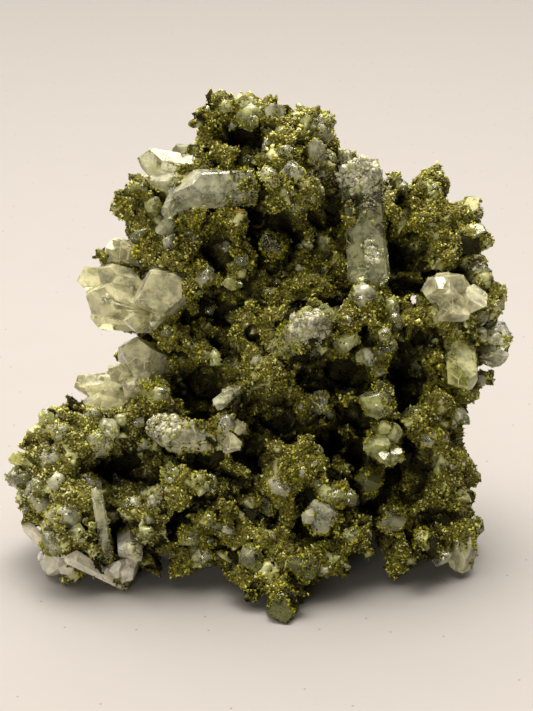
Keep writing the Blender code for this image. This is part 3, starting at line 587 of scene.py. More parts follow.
# The lean of the end faces of quartz, and of the blunt crystals under the druse, as in part.py.
QUARTZ_LEAN = math.radians(52)
BLUNT_LEANS = (math.radians(34), math.radians(56))

# The small crystals are copies of this many, flattened to no less than these shares.
TEMPLATES = 14
BLUNT_FLAT = 0.7
MIXED_FLAT = 0.6

# Points of a crystal that are this near one another are one, and so are faces this level.
POINT_MERGE = 1e-6
FLAT_ANGLE = math.radians(0.5)

# The rounding of the quartz's edges, in mm, and how sharp an edge is that gets it.
EDGE_ROUND = 0.045
EDGE_ANGLE = math.radians(14)

# What makes each quartz crystal its own, as shares of its radius: how far its sides are cut in, and
# how far its large and its small end faces are lowered.
SIDE_SINK = 0.34
LARGE_SINK = (0.0, 0.8)
SMALL_SINK = (-0.9, -0.15)

# Its broken corners: how many cuts, and how deep, as a share of its radius.
CHIPS = 2
CHIP_DEPTH = (0.05, 0.25)

# The smaller crystals along its sides.
SIDE_CRYSTALS = (0, 2)  # how many
SIDE_RADIUS = (0.22, 0.5)  # as a share of its own
SIDE_WITHIN = 0.9  # the share of its radius that they start within
SIDE_START = (0.1, 0.5)  # as a share of its length
SIDE_END = (0.55, 0.93)  # as a share of its length
SIDE_OFF = (0.1, 0.6)  # how far they stand off at the end, as a share of their radius
SIDE_LEAST = 1.5  # how many of their radii they are long at least

# Inside the quartz: white flakes in thin veils, and grains of epidote, most of them near the root.
INNER_DEPTH = 0.45  # how deep in it they are at least, in mm
INNER_LOOK = 2  # how far away its faces are looked for, in mm
INNER_ROOM = 0.74  # the share of its radius that they are within
VEILS = 2  # in each crystal
VEIL_PLACE = (0.35, 0.85)  # where a veil crosses it, as a share of its length
VEIL_LEAN = 0.7
VEIL_THICK = 0.1  # in mm
VEIL_END = 0.9  # how steep the end of its crystal is taken to be
VEIL_LEVEL = 0.45  # the noise over which a veil has its flakes
FLAKES = 0.5  # for each square of the step that the radius spans
FLAKE_STEP = 0.22  # in mm
FLAKE_SIZE = (0.14, 0.42)  # in mm
INNER_GRAINS = 0.04  # in the same way, and for each radius that the crystal is long
GRAIN_STEP = 0.2  # in mm
INNER_END = 0.75  # the share of its length that they end at
INNER_POWER = 1.3  # what brings them near the root

# The druse leaves most of the faces of quartz clean that face this way, as seen in the window.
CLEAN_WAY = (-0.35, 0.1, 0.93)

# How quartz is grown over by grains and by collars of rock: how far from its root beside its own
# coat, how fast that ends, and how much the clean faces are spared.
COAT_RULE = (0.25, 1.6, 0.35)
COLLAR_RULE = (0.15, 2.0, 0.5)

# The grains on quartz.
COAT_DENSITY = 5.0  # for each square mm that is coated
COAT_RAGGED = 0.14  # how ragged the coat's edge is
CRUSHED_GRAINS = 1.6  # how many times as many there are on crushed quartz
CRUSHED_RAGGED = 0.9  # how ragged the coat is there
CRUSHED_COAT = 0.7  # the noise under which it is coated

# Collars of rock that climb up the quartz: buds with their sizes in mm.
COLLAR_BUDS = 0.16  # for each square mm
COLLAR_RADIUS = (0.8, 1.7)
COLLAR_REACH = (0.1, 0.9)
COLLAR_SUNK = 1.0  # how deep their roots are, as a share of the radius
COLLAR_FLOOR = 3  # how high above the floor they begin

# Small crystals have the look of a larger one at this share of its length.
SMALL_SHARE = 0.6


def seen(across, down, forward):
    """The point, in metres, that is seen at that place of the window, so far in front of it."""
    right = across - WINDOW_WIDTH / 2
    up = WINDOW_HEIGHT / 2 - down
    nearer = 1 - forward / EYE_DISTANCE
    return (WINDOW_CENTRE + from_sight((right * nearer, up * nearer, forward))) * MM


def from_sight(direction):
    """A (right, up, near) direction of the window in the cluster's own frame."""
    right, up, near = direction
    y = up * math.sin(SIGHT_TILT) - near * math.cos(SIGHT_TILT)
    z = up * math.cos(SIGHT_TILT) + near * math.sin(SIGHT_TILT)
    return Vector((right, y, z))


def sight_eye():
    """Where the eye behind the window is."""
    return seen(WINDOW_WIDTH / 2, WINDOW_HEIGHT / 2, EYE_DISTANCE)


def stood(root, way):
    """The transform that stands what is made on the origin, along +Z, on the root along the way."""
    return Matrix.Translation(root) @ way.to_track_quat("Z", "Y").to_matrix().to_4x4()


def aim(obj, target):
    obj.rotation_euler = (target - obj.location).to_track_quat("-Z", "Y").to_euler()


def add_camera():
    data = bpy.data.cameras.new("camera")
    data.sensor_width = 36
    data.lens = data.sensor_width / WINDOW_HEIGHT * EYE_DISTANCE
    data.clip_start = 0.01
    camera = bpy.data.objects.new("camera", data)
    bpy.context.scene.collection.objects.link(camera)
    centre = WINDOW_CENTRE * MM
    camera.location = centre + from_sight((0, 0, EYE_DISTANCE)) * MM
    aim(camera, centre)
    bpy.context.scene.camera = camera
    bpy.context.scene.view_settings.view_transform = "Standard"


def node(tree, kind, inputs=(), **settings):
    """Adds a shader node. Its inputs are plain values or the sockets they come from."""
    made = tree.nodes.new("ShaderNode" + kind)
    for name, value in settings.items():
        setattr(made, name, value)
    for name, value in dict(inputs).items():
        if isinstance(value, bpy.types.NodeSocket):
            tree.links.new(value, made.inputs[name])
        else:
            made.inputs[name].default_value = value
    return made


def new_material(name, fixed):
    """A material with its shader's plain values set on the shader's own sockets."""
    made = bpy.data.materials.new(name)
    made.use_nodes = True
    tree = made.node_tree
    shader = tree.nodes["Principled BSDF"]
    for socket, value in fixed.items():
        shader.inputs[socket].default_value = value
    return made, tree, shader


def feed(tree, target, sources):
    """Links each source to the socket of that name of the target node."""
    for socket, source in sources.items():
        tree.links.new(source, target.inputs[socket])


def own_place(tree):
    """The place on the object, in its own space."""
    return node(tree, "TexCoord").outputs["Object"]


def held(tree, name, output="Fac"):
    """What the mesh holds under that name at each vertex."""
    return node(tree, "Attribute", attribute_name=name).outputs[output]


def grain_noise(tree, size, detail=2.0, roughness=0.5):
    """Noise in the object's own space, with lumps of that size in mm."""
    values = {"Vector": own_place(tree), "Scale": 1 / (size * MM), "Detail": detail}
    return node(tree, "TexNoise", {**values, "Roughness": roughness}).outputs["Fac"]


def cell_noise(tree, size, **settings):
    """Cells of that size in mm in the object's own space."""
    values = {"Vector": own_place(tree), "Scale": 1 / (size * MM)}
    return node(tree, "TexVoronoi", values, **settings)


def combined(tree, operation, first, second):
    """One number out of two, by a plain operation of arithmetic."""
    return node(tree, "Math", {0: first, 1: second}, operation=operation).outputs[0]


def ramped(tree, value, low, high, start=0.0, end=1.0):
    """The value between low and high, spread from start to end."""
    values = {"Value": value, "From Min": low, "From Max": high, "To Min": start, "To Max": end}
    return node(tree, "MapRange", values).outputs["Result"]


def mixed(tree, share, first, second):
    return node(tree, "MixRGB", {"Fac": share, "Color1": first, "Color2": second}).outputs["Color"]


def bumped(tree, height, strength, distance, below=None):
    values = {"Height": height, "Strength": strength, "Distance": distance * MM}
    if below is not None:
        values["Normal"] = below
    return node(tree, "Bump", values).outputs["Normal"]


def dimmed(colour, share):
    return tuple(value * share for value in colour[:3]) + (1,)


def paper_material():
    made, tree, shader = new_material("pale_paper", {"Roughness": 0.9, "Specular IOR Level": 0.2})
    away = node(tree, "SeparateXYZ", {"Vector": own_place(tree)}).outputs["Y"]
    # Painted shade: the paper's colour darkens towards its far end.
    paper = mixed(tree, ramped(tree, away, *PAINTED_SHADE_SPAN), PAPER, dimmed(PAPER, PAINTED_FAR_SHADE))
    pulp = ramped(tree, grain_noise(tree, 14, 4), 0.35, 0.65, 0.0, PULP_MOST)
    paper = mixed(tree, pulp, paper, dimmed(PAPER, PULP_SHADE))
    specks = cell_noise(tree, DUST_STEP, voronoi_dimensions="2D").outputs["Distance"]
    edge = DUST_SIZE / DUST_STEP
    dust = ramped(tree, specks, edge, 0.5 * edge, 0.0, 0.5)
    feed(tree, shader, {
        "Base Color": mixed(tree, dust, paper, DUST_COLOUR),
        "Normal": bumped(tree, grain_noise(tree, 1.2, 3), 0.15, 0.2),
    })
    return made


def add_floor():
    mesh = bmesh.new()
    bmesh.ops.create_grid(mesh, x_segments=1, y_segments=1, size=FLOOR_SIZE / 2)
    floor = object_of(mesh, "floor")
    floor.data.materials.append(paper_material())


def add_sky():
    world = bpy.data.worlds.new("room")
    world.use_nodes = True
    tree = world.node_tree
    way = node(tree, "TexCoord").outputs["Generated"]
    near = node(tree, "VectorMath", {0: way, 1: SKY_WAY}, operation="DOT_PRODUCT")
    patch = combined(tree, "POWER", ramped(tree, near.outputs["Value"], SKY_SPREAD, 1.0), SKY_FALL)
    feed(tree, tree.nodes["Background"], {"Color": mixed(tree, patch, SKY_LOW, SKY_HIGH)})
    bpy.context.scene.world = world


def add_lamps():
    for name, lamp in LAMPS.items():
        data = bpy.data.lights.new(name, "AREA")
        data.size = lamp["size"]
        data.energy = lamp["watts"]
        data.color = LAMP_COLOUR
        light = bpy.data.objects.new(name, data)
        bpy.context.scene.collection.objects.link(light)
        light.location = lamp["at"]
        aim(light, WINDOW_CENTRE * MM)


def object_of(mesh, name):
    data = bpy.data.meshes.new(name)
    mesh.to_mesh(data)
    mesh.free()
    return linked(data, name)


def linked(data, name):
    obj = bpy.data.objects.new(name, data)
    bpy.context.scene.collection.objects.link(obj)
    return obj


def dressed(piece, material):
    """Gives the piece its material, and says what it rides on."""
    piece.data.materials.append(material)
    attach(piece, "root")


def hull(points):
    """The convex solid around the points, as a bmesh with flat many-sided faces."""
    mesh = bmesh.new()
    for point in points:
        mesh.verts.new(point)
    bmesh.ops.remove_doubles(mesh, verts=mesh.verts, dist=POINT_MERGE)
    made = bmesh.ops.convex_hull(mesh, input=mesh.verts)
    spare = set(made["geom_interior"] + made["geom_unused"])
    inside = [part for part in spare if isinstance(part, bmesh.types.BMVert)]
    bmesh.ops.delete(mesh, geom=inside, context="VERTS")
    bmesh.ops.dissolve_limit(mesh, angle_limit=FLAT_ANGLE, verts=mesh.verts, edges=mesh.edges)
    return mesh


def sliced(mesh, point, normal):
    """A convex solid without what lies beyond the plane."""
    geometry = mesh.verts[:] + mesh.edges[:] + mesh.faces[:]
    bmesh.ops.bisect_plane(mesh, geom=geometry, plane_co=point, plane_no=normal, clear_outer=True)
    points = [vert.co.copy() for vert in mesh.verts]
    mesh.free()
    return hull(points)


def facet_plane(turn, lean, top):
    """A plane that leans away from the axis, through the axis at the height top."""
    normal = Vector((math.cos(turn) * math.sin(lean), math.sin(turn) * math.sin(lean), math.cos(lean)))
    return Vector((0, 0, top)), normal


def template(dice, faces, flat):
    """A crystal of radius 1 and length 3 on the origin, along +Z, with that many end faces."""
    mesh = prism(1, 3)
    mesh.transform(Matrix.Diagonal((1, flat, 1, 1)))
    start = math.pi / 6 if faces == 6 else dice.uniform(0, math.tau)
    for side in range(faces):
        lean = QUARTZ_LEAN if faces == 6 else dice.uniform(*BLUNT_LEANS)
        turn = start + side * math.tau / faces
        mesh = sliced(mesh, *facet_plane(turn, lean, 3 - dice.uniform(0, 0.5)))
    return triangles_of(mesh)


def mixed_templates(dice, faces):
    """Different small crystals, each with one of these numbers of end faces."""
    return [template(dice, dice.choice(faces), dice.uniform(MIXED_FLAT, 1)) for _ in range(TEMPLATES)]


def triangles_of(mesh):
    """A convex bmesh as arrays of vertices and triangles, in an order that is the same each run."""
    mesh.verts.index_update()
    verts = np.array([vert.co[:] for vert in mesh.verts])
    order = np.lexsort(np.round(verts / np.abs(verts).max(), 5).T)
    place = np.argsort(order).tolist()
    tris = []
    for face in mesh.faces:
        ring = [place[vert.index] for vert in face.verts]
        first = ring.index(min(ring))
        ring = ring[first:] + ring[:first]
        tris += [(ring[0], *pair) for pair in zip(ring[1:], ring[2:])]
    mesh.free()
    return verts[order], np.array(sorted(tris))


def arrays_of(data):
    """The vertices and triangles of a mesh as arrays."""
    data.calc_loop_triangles()
    verts = np.zeros(len(data.vertices) * 3)
    data.vertices.foreach_get("co", verts)
    tris = np.zeros(len(data.loop_triangles) * 3, int)
    data.loop_triangles.foreach_get("vertices", tris)
    return verts.reshape(-1, 3), tris.reshape(-1, 3)


def mesh_of(name, verts, tris):
    """A mesh from arrays of vertices and triangles."""
    data = bpy.data.meshes.new(name)
    data.vertices.add(len(verts))
    data.vertices.foreach_set("co", verts.astype(np.float32).ravel())
    data.loops.add(tris.size)
    data.loops.foreach_set("vertex_index", tris.astype(np.int32).ravel())
    data.polygons.add(len(tris))
    data.polygons.foreach_set("loop_start", np.arange(0, tris.size, 3, dtype=np.int32))
    data.update(calc_edges=True)
    return data


def piece_of(name, verts, tris):
    """A new object from arrays of vertices and triangles."""
    return linked(mesh_of(name, verts, tris), name)


def tree_of(verts, tris):
    """A search tree of a mesh."""
    return BVHTree.FromPolygons(verts.tolist(), tris.tolist())


def unit(rows):
    return rows / np.maximum(np.linalg.norm(rows, axis=1, keepdims=True), 1e-12)


def noise_rows(points, size, shift):
    """The points in steps of that size in mm, moved by the shift, as plain lists."""
    return (points / (size * MM) + shift).tolist()


def lumps(points, size, seed):
    """Smooth noise at each point, mostly from 0 to 1, with lumps of that size in mm."""
    rows = noise_rows(points, size, (seed * 3.7, seed * 1.9, seed * 7.3))
    return np.array([noise.noise(row) for row in rows]) * NOISE_SPREAD + NOISE_MIDDLE


def cells(points, size, seed):
    """For each point, how far the nearest middles of cells of that size in mm are, and where."""
    rows = noise_rows(points, size, (seed * 5.3 + 0.7, seed * 2.1, seed * 4.9))
    return rows, [noise.voronoi(row) for row in rows]


def cell_distance(points, size, seed):
    """How far each point is from the middle of its cell, from 0 to about 1; cells of that size in mm."""
    return np.array([distances[0] for distances, _ in cells(points, size, seed)[1]])


def cell_plates(points, size, seed):
    """Cells with a flat, tilted top: how far each point is inside its cell, from 0 at the edge to 1,
    and how high the tilt lifts it, as a share of the size."""
    plates, tilts = [], []
    for row, (distances, middles) in zip(*cells(points, size, seed)):
        tilt = noise.noise_vector(middles[0] * 7.3).normalized()
        plates.append(min((distances[1] - distances[0]) / PLATE_RIM, 1))
        tilts.append((Vector(row) - middles[0]).dot(tilt))
    return np.array(plates), np.array(tilts)


def corners_of(verts, tris):
    """The corners of each triangle, and its normal with twice its area for a length."""
    corners = verts[tris]
    return corners, np.cross(corners[:, 1] - corners[:, 0], corners[:, 2] - corners[:, 0])


def count_on(verts, tris, density):
    """How many things that many for each square mm are on the mesh."""
    area = np.linalg.norm(corners_of(verts, tris)[1], axis=1).sum() / 2
    return int(density * area / MM ** 2)


def scattered(verts, tris, count, rng, weight=None):
    """Random points on a mesh, more of them where the vertices' weight is high: the points, the
    faces' normals there, and each point's place in its triangle."""
    corners, cross = corners_of(verts, tris)
    share = np.linalg.norm(cross, axis=1) / 2
    if weight is not None:
        share = share * weight[tris].mean(axis=1)
    pick = rng.choice(len(tris), count, p=share / share.sum())
    side = np.sqrt(rng.random(count))
    slide = rng.random(count)
    parts = np.stack([1 - side, side * (1 - slide), side * slide], axis=1)
    points = (corners[pick] * parts[:, :, None]).sum(axis=1)
    return points, unit(cross[pick]), (tris[pick], parts)


def at_points(values, place):
    """Values of the vertices, read at scattered points."""
    corners, parts = place
    return (values[corners] * parts).sum(axis=1)


def leaning(normals, spread, rng):
    """The normals, each leant over by chance."""
    return unit(normals + rng.normal(0, spread, normals.shape))


def planted(templates, points, normals, radii, reaches, rng, sunk=1.5):
    """Copies of the templates on the points, along the normals, as joined arrays."""
    parts = []
    spin = unit(np.cross(normals, rng.normal(size=normals.shape)))
    other = np.cross(normals, spin)
    which = rng.integers(len(templates), size=len(points))
    for point, normal, first, second, radius, reach, kind in zip(
        points, normals, spin, other, radii, reaches, which
    ):
        verts, tris = templates[kind]
        depth = (sunk * radius + reach) / 3
        placed = np.outer(verts[:, 0], first * radius) + np.outer(verts[:, 1], second * radius)
        placed += np.outer(verts[:, 2], normal * depth) + point - normal * sunk * radius
        parts.append((placed, tris))
    return joined(parts)


def strewn(templates, points, normals, radius, reach, rng, sunk=1.5):
    """Templates planted with a random radius and reach for each, between two values in mm."""
    radii = rng.uniform(*radius, len(points)) * MM
    reaches = rng.uniform(*reach, len(points)) * MM
    return planted(templates, points, normals, radii, reaches, rng, sunk)


def joined(parts):
    """Several (vertices, triangles) as one."""
    starts = np.cumsum([0] + [len(verts) for verts, _ in parts[:-1]])
    verts = np.concatenate([verts for verts, _ in parts])
    return verts, np.concatenate([tris + start for (_, tris), start in zip(parts, starts)])


def modified(obj, kind, name, **settings):
    """The object with one modifier applied, as a new object in its place."""
    step = obj.modifiers.new(kind, kind)
    for setting, value in settings.items():
        setattr(step, setting, value)
    graph = bpy.context.evaluated_depsgraph_get()
    data = bpy.data.meshes.new_from_object(obj.evaluated_get(graph), depsgraph=graph)
    data.name = name
    bpy.data.objects.remove(obj)
    return linked(data, name)


def vertex_normals(data):
    values = np.zeros(len(data.vertices) * 3)
    data.vertex_normals.foreach_get("vector", values)
    return values.reshape(-1, 3)


def write_float(data, name, values):
    layer = data.attributes.new(name, "FLOAT", "POINT")
    layer.data.foreach_set("value", values.astype(np.float32))


def openness(points, normals, tree):
    """How much of the sky above each point is free, from 0 in a closed hollow to 1."""
    golden = math.pi * (3 - math.sqrt(5))
    sky = []
    for step in range(SKY_RAYS):
        height = 1 - (2 * step + 1) / SKY_RAYS
        ring = math.sqrt(1 - height * height)
        sky.append(Vector((math.cos(golden * step) * ring, math.sin(golden * step) * ring, height)))
    found = []
    for point, normal in zip(points.tolist(), normals.tolist()):
        up = Vector(normal)
        start = Vector(point) + up * OPEN_START * MM
        whole = free = 0
        for way in sky:
            lean = way.dot(up)
            if lean > OPEN_LEAN:
                whole += lean
                if tree.ray_cast(start, way, OPEN_REACH * MM)[0] is None:
                    free += lean
        found.append(free / whole)
    return np.array(found)


def quartz_tree():
    """All the quartz solids in one search tree."""
    return tree_of(*joined([arrays_of(frame["nodes"][name].data) for name in QUARTZ]))


def depth_in(points, tree, reach):
    """How far each point is inside the tree's solids, in metres: below 0 outside, -reach if far."""
    found = []
    for point in points.tolist():
        spot, normal, _, distance = tree.find_nearest(point, reach)
        if spot is None:
            found.append(-reach)
        else:
            inside = (Vector(point) - spot).dot(normal) < 0
            found.append(distance if inside else -distance)
    return np.array(found)


def growth_room(points, quartz, reach, clear, lowest):
    """Which points are this clear of the quartz, which is looked for this far, this high above the
    floor, all in mm, and away from the gap."""
    keep = (depth_in(points, quartz, reach * MM) < -clear * MM) & (points[:, 2] > lowest * MM)
    return keep & (gap_way(points)[0] > GAP_ROOM)


def rock_skin(quartz):
    """The skin of the rock, with buds between the CAD solid's larger crystals."""
    rng = np.random.default_rng(SEEDS["skin"])
    dice = random.Random(SEEDS["skin"])
    solid = arrays_of(frame["nodes"]["epidote_mass"].data)
    blunt = [template(dice, 3, dice.uniform(BLUNT_FLAT, 1)) for _ in range(TEMPLATES)]
    parts = [solid]
    look, floor = BUD_ROOM
    for count, radius, reach in BUDS:
        points, normals, _ = scattered(*solid, count, rng)
        keep = growth_room(points, quartz, look, radius[1], floor)
        normals = leaning(normals[keep], BUD_LEAN, rng)
        parts.append(strewn(blunt, points[keep], normals, radius, reach, rng))
    parts += collars(blunt, rng)
    for base, tip, radius in LUMPS:
        parts.append(triangles_of(quartz_crystal(seen(*base), seen(*tip), radius * MM, dice)))
    rock = piece_of("rock", *joined(parts))
    skin = {"mode": "VOXEL", "voxel_size": SKIN_GRAIN * MM}
    rock = bored(modified(rock, "REMESH", "epidote_rock", **skin))
    verts, tris = arrays_of(rock.data)
    verts = weathered(verts, vertex_normals(rock.data))
    bpy.data.objects.remove(rock)
    return piece_of("epidote_rock", verts, tris)


def weathered(verts, normals):
    """The skin's points with the hollows, pits, cells, soft relief and open gap."""
    verts -= np.array(from_sight((0, 0, 1))) * sunk_at(verts)[:, None]
    pits = np.clip((PIT_LEVEL - lumps(verts, *FIELDS["pits"])) / PIT_FADE, 0, 1)
    verts -= normals * (pits * PIT_DEPTH * MM)[:, None]
    for seed, (size, height) in enumerate(CELLS):
        plates, tilts = cell_plates(verts, size, seed)
        rise = CELL_RISE * (plates - CELL_LEVEL) + CELL_TILT * tilts
        verts += normals * (rise * height * MM)[:, None]
    for seed, (size, height) in enumerate(RELIEF):
        verts += normals * ((lumps(verts, size, seed) - NOISE_MIDDLE) * 2 * height * MM)[:, None]
    from_gap, out = gap_way(verts)
    verts += out * (np.clip(GAP_RADIUS - from_gap, 0, None) * MM)[:, None]
    verts[:, 2] = np.maximum(verts[:, 2], 0)
    return verts


def rock_facts(skin):
    """The skin's mesh and search tree, and how open, how pale and how coated each vertex is."""
    verts, tris = arrays_of(skin.data)
    tree = tree_of(verts, tris)
    free = openness(verts, vertex_normals(skin.data), tree)
    pale = paleness(verts)
    bare = BARE + BARE_PALE * pale
    coat = lumps(verts, *FIELDS["coat"]) + FINE_COAT * lumps(verts, *FIELDS["fine_coat"])
    coat = np.clip((coat - bare) / BARE_FADE, 0, 1)
    for name, values in (("openness", free), ("coat", coat), ("pale", pale)):
        write_float(skin.data, name, values)
    return SimpleNamespace(verts=verts, tris=tris, tree=tree, free=free, pale=pale, coat=coat)


def bored(rock):
    """The rock with the gap opened along its sight line, where the skin has closed it."""
    aimed = seen(*GAP, 0)
    bore = object_of(prism(GAP_RADIUS * MM, GAP_LENGTH * MM), "bore")
    back = Matrix.Translation((0, 0, -GAP_LENGTH / 2 * MM))
    bore.data.transform(stood(aimed, sight_eye() - aimed) @ back)
    cut = {"operation": "DIFFERENCE", "object": bore, "solver": "MANIFOLD"}
    rock = modified(rock, "BOOLEAN", "epidote_rock", **cut)
    bpy.data.objects.remove(bore)
    return rock


def coat_level(run, normals, coat, rule):
    """How readily quartz is grown over, less so far along it and on the faces that stay clean."""
    start, fall, clean = rule
    spared = clean * (normals @ np.array(from_sight(CLEAN_WAY)))
    return NOISE_MIDDLE + fall * (coat + start - run) - spared


def collars(blunt, rng):
    """Buds round the roots of the quartz, as (vertices, triangles)."""
    parts = []
    size, first = FIELDS["collars"]
    for number, (name, (_, coat, crystals)) in enumerate(QUARTZ.items()):
        solid = arrays_of(frame["nodes"][name].data)
        points, normals, _ = scattered(*solid, count_on(*solid, COLLAR_BUDS), rng)
        wanted = coat_level(along_of(points, crystals)[1], normals, coat, COLLAR_RULE)
        keep = (lumps(points, size, first + number) < wanted) & (points[:, 2] > COLLAR_FLOOR * MM)
        keep &= gap_way(points)[0] > GAP_ROOM
        sizes = (COLLAR_RADIUS, COLLAR_REACH)
        if keep.any():
            parts.append(strewn(blunt, points[keep], normals[keep], *sizes, rng, COLLAR_SUNK))
    return parts


def gap_way(points):
    """How far each point is from the sight line through the gap, in mm, and the way out of it."""
    eye = np.array(sight_eye())
    way = unit((np.array(seen(*GAP, 0)) - eye)[None])[0]
    off = points - eye
    off = off - np.outer(off @ way, way)
    return np.linalg.norm(off, axis=1) / MM, unit(off)


def seen_down(points):
    """How far below the window's top edge each point is seen, in mm."""
    off = (points - np.array(WINDOW_CENTRE) * MM) / MM
    nearer = 1 - off @ np.array(from_sight((0, 0, 1))) / EYE_DISTANCE
    return WINDOW_HEIGHT / 2 - off @ np.array(from_sight((0, 1, 0))) / nearer


def steps_from(points, place, half):
    """How far each point is from a place of the window, as a share of the half sizes there."""
    off = points - np.array(seen(*place))
    ways = [np.array(from_sight(way)) for way in ((1, 0, 0), (0, 1, 0), (0, 0, 1))]
    return np.sqrt(sum((off @ way / (size * MM)) ** 2 for way, size in zip(ways, half)))


def faded(steps, most, fall):
    """How much a region counts at so many steps from its middle, from 0 to 1."""
    return np.clip(most - fall * steps, 0, 1)


def sunk_at(points):
    """How far the hollows sink each point away from the window, in metres."""
    sunk = np.zeros(len(points))
    for place, half, depth in HOLLOWS.values():
        share = faded(steps_from(points, place, half), *HOLLOW_FADE)
        sunk = np.maximum(sunk, np.sqrt(share) * depth * MM)
    return sunk


def paleness(points):
    """How pale each point's region is, from 0 to 1."""
    pale = np.zeros(len(points))
    for place, half, most in PALE:
        share = faded(steps_from(points, place, half), *PALE_FADE)
        pale = np.maximum(pale, share * most)
    return pale


def tones(values):
    """The colour of the druse at each value from 0 to 1."""
    steps, colours = zip(*TONES)
    return np.stack([np.interp(values, steps, channel) for channel in zip(*colours)], axis=1)


def distance_to(points, place, reach):
    """How far each point is from a place of the window, as a share of the reach in mm."""
    return np.linalg.norm(points - np.array(seen(*place)), axis=1) / (reach * MM)


def stained(colours, points):
    """The colours with the stains near the points mixed in."""
    for place, reach, colour in STAINS:
        share = faded(distance_to(points, place, reach), *STAIN_FADE)[:, None]
        colours = colours * (1 - share) + np.array(colour) * share
    return colours


def chosen(kind, count, rng):
    """So many random values of a kind, as (least, how much more) or with a power as well."""
    least, more, *power = kind
    return least + more * rng.random(count) ** (power[0] if power else 1)


def grain_arrays(points, normals, sizes, rng):
    """One closed four-faced grain on each point: a ridge above, and an edge across it in the rock."""
    count = len(points)
    up = leaning(normals, GRAIN_LEAN, rng)
    side = unit(np.cross(up, rng.normal(size=(count, 3))))
    other = np.cross(up, side)
    scale = sizes[:, None] * MM
    half_length = rng.uniform(*GRAIN_LENGTH, (count, 1)) * scale / 2
    half_width = rng.uniform(*GRAIN_WIDTH, (count, 1)) * scale / 2
    height = rng.uniform(*GRAIN_HEIGHT, (count, 1)) * scale
    slope = rng.uniform(*GRAIN_SLOPE, (count, 1))
    root = points - up * GRAIN_ROOT * scale
    verts = np.stack([
        points + up * height + side * half_length,
        points + up * height * slope - side * half_length,
        root + other * half_width,
        root - other * half_width,
    ], axis=1)
    faces = np.array([(0, 2, 1), (0, 1, 3), (0, 3, 2), (1, 2, 3)])
    tris = faces[None] + 4 * np.arange(count)[:, None, None]
    verts[:, :, 2] = np.maximum(verts[:, :, 2], 0)
    return verts.reshape(-1, 3), tris.reshape(-1, 3)


def grain_pieces(name, points, normals, sizes, colours, material, rng):
    """The grains as pieces that stay under the limit of triangles."""
    order = np.argsort(points[:, 0])
    for number, start in enumerate(range(0, len(points), GRAINS_A_PIECE), 1):
        part = order[start:start + GRAINS_A_PIECE]
        verts, tris = grain_arrays(points[part], normals[part], sizes[part], rng)
        piece = piece_of(f"{name}_{number}", verts, tris)
        # Each grain's colour, with any painted light and shade that it was given, is held as its tint.
        tint = np.ones((len(verts), 4), np.float32)
        tint[:, :3] = np.repeat(colours[part], 4, axis=0)
        layer = piece.data.color_attributes.new(name="tint", type="FLOAT_COLOR", domain="POINT")
        layer.data.foreach_set("color", tint.ravel())
        dressed(piece, material)


def druse_material():
    fixed = {"IOR": EPIDOTE_IOR, "Specular IOR Level": 0.16, "Specular Tint": (1, 0.9, 0.32, 1)}
    made, tree, shader = new_material("epidote_druse", fixed)
    mottle = ramped(tree, grain_noise(tree, 0.3, 1), 0.3, 0.7, 0.0, 0.5)
    feed(tree, shader, {
        "Base Color": mixed(tree, mottle, held(tree, "tint", "Color"), DRUSE_MOTTLE),
        "Roughness": ramped(tree, grain_noise(tree, 0.9, 1), 0.3, 0.7, 0.28, 0.55),
    })
    return made


def rock_material():
    fixed = {"IOR": QUARTZ_IOR, "Specular Tint": (1, 0.92, 0.5, 1)}
    made, tree, shader = new_material("epidote_rock", fixed)
    free, coat, pale = (held(tree, name) for name in ("openness", "coat", "pale"))
    grit = cell_noise(tree, 0.36)
    speck = node(tree, "SeparateXYZ", {"Vector": grit.outputs["Color"]}).outputs["X"]
    dusty = mixed(tree, speck, *DUST_TONES)
    darker = mixed(tree, pale, *DARK_GLASS)
    lighter = mixed(tree, pale, *LIGHT_GLASS)
    glassy = mixed(tree, ramped(tree, grain_noise(tree, 2.6, 3, 0.6), 0.35, 0.7), darker, lighter)
    bare = mixed(tree, ramped(tree, coat, 0.15, 0.5), glassy, dusty)
    height = combined(tree, "MULTIPLY", grit.outputs["Distance"], coat)
    rugged = bumped(tree, height, 0.9, -0.5)
    gloss = ramped(tree, coat, 0.1, 0.6, 0.16, 0.7)
    feed(tree, shader, {
        # Painted shade: the rock's colour goes to near black where little of its sky is open.
        "Base Color": mixed(tree, ramped(tree, free, 0.27, 0.57), PAINTED_HOLLOW_SHADE, bare),
        "Roughness": combined(tree, "MAXIMUM", gloss, ramped(tree, free, 0.55, 0.25)),
        "Normal": bumped(tree, grain_noise(tree, 1.6, 2, 0.5), 0.3, 0.4, rugged),
    })
    return made


def veiled(tree):
    """How milky the quartz is: clouds, patches of specks, and lines of cracks."""
    clouds = ramped(tree, grain_noise(tree, 3.6, 6, 0.66), 0.42, 0.62)
    crushed_here = ramped(tree, grain_noise(tree, 5.0, 2), 0.52, 0.62)
    specks = ramped(tree, grain_noise(tree, 0.9, 4, 0.75), 0.46, 0.60)
    specks = combined(tree, "MULTIPLY", specks, crushed_here)
    edges = cell_noise(tree, 3.4, feature="DISTANCE_TO_EDGE").outputs["Distance"]
    cracked_here = ramped(tree, grain_noise(tree, 4.5, 2), 0.46, 0.58)
    cracks = combined(tree, "MULTIPLY", ramped(tree, edges, 0.05, 0.0), cracked_here)
    return combined(tree, "MAXIMUM", combined(tree, "MAXIMUM", clouds, specks), cracks)


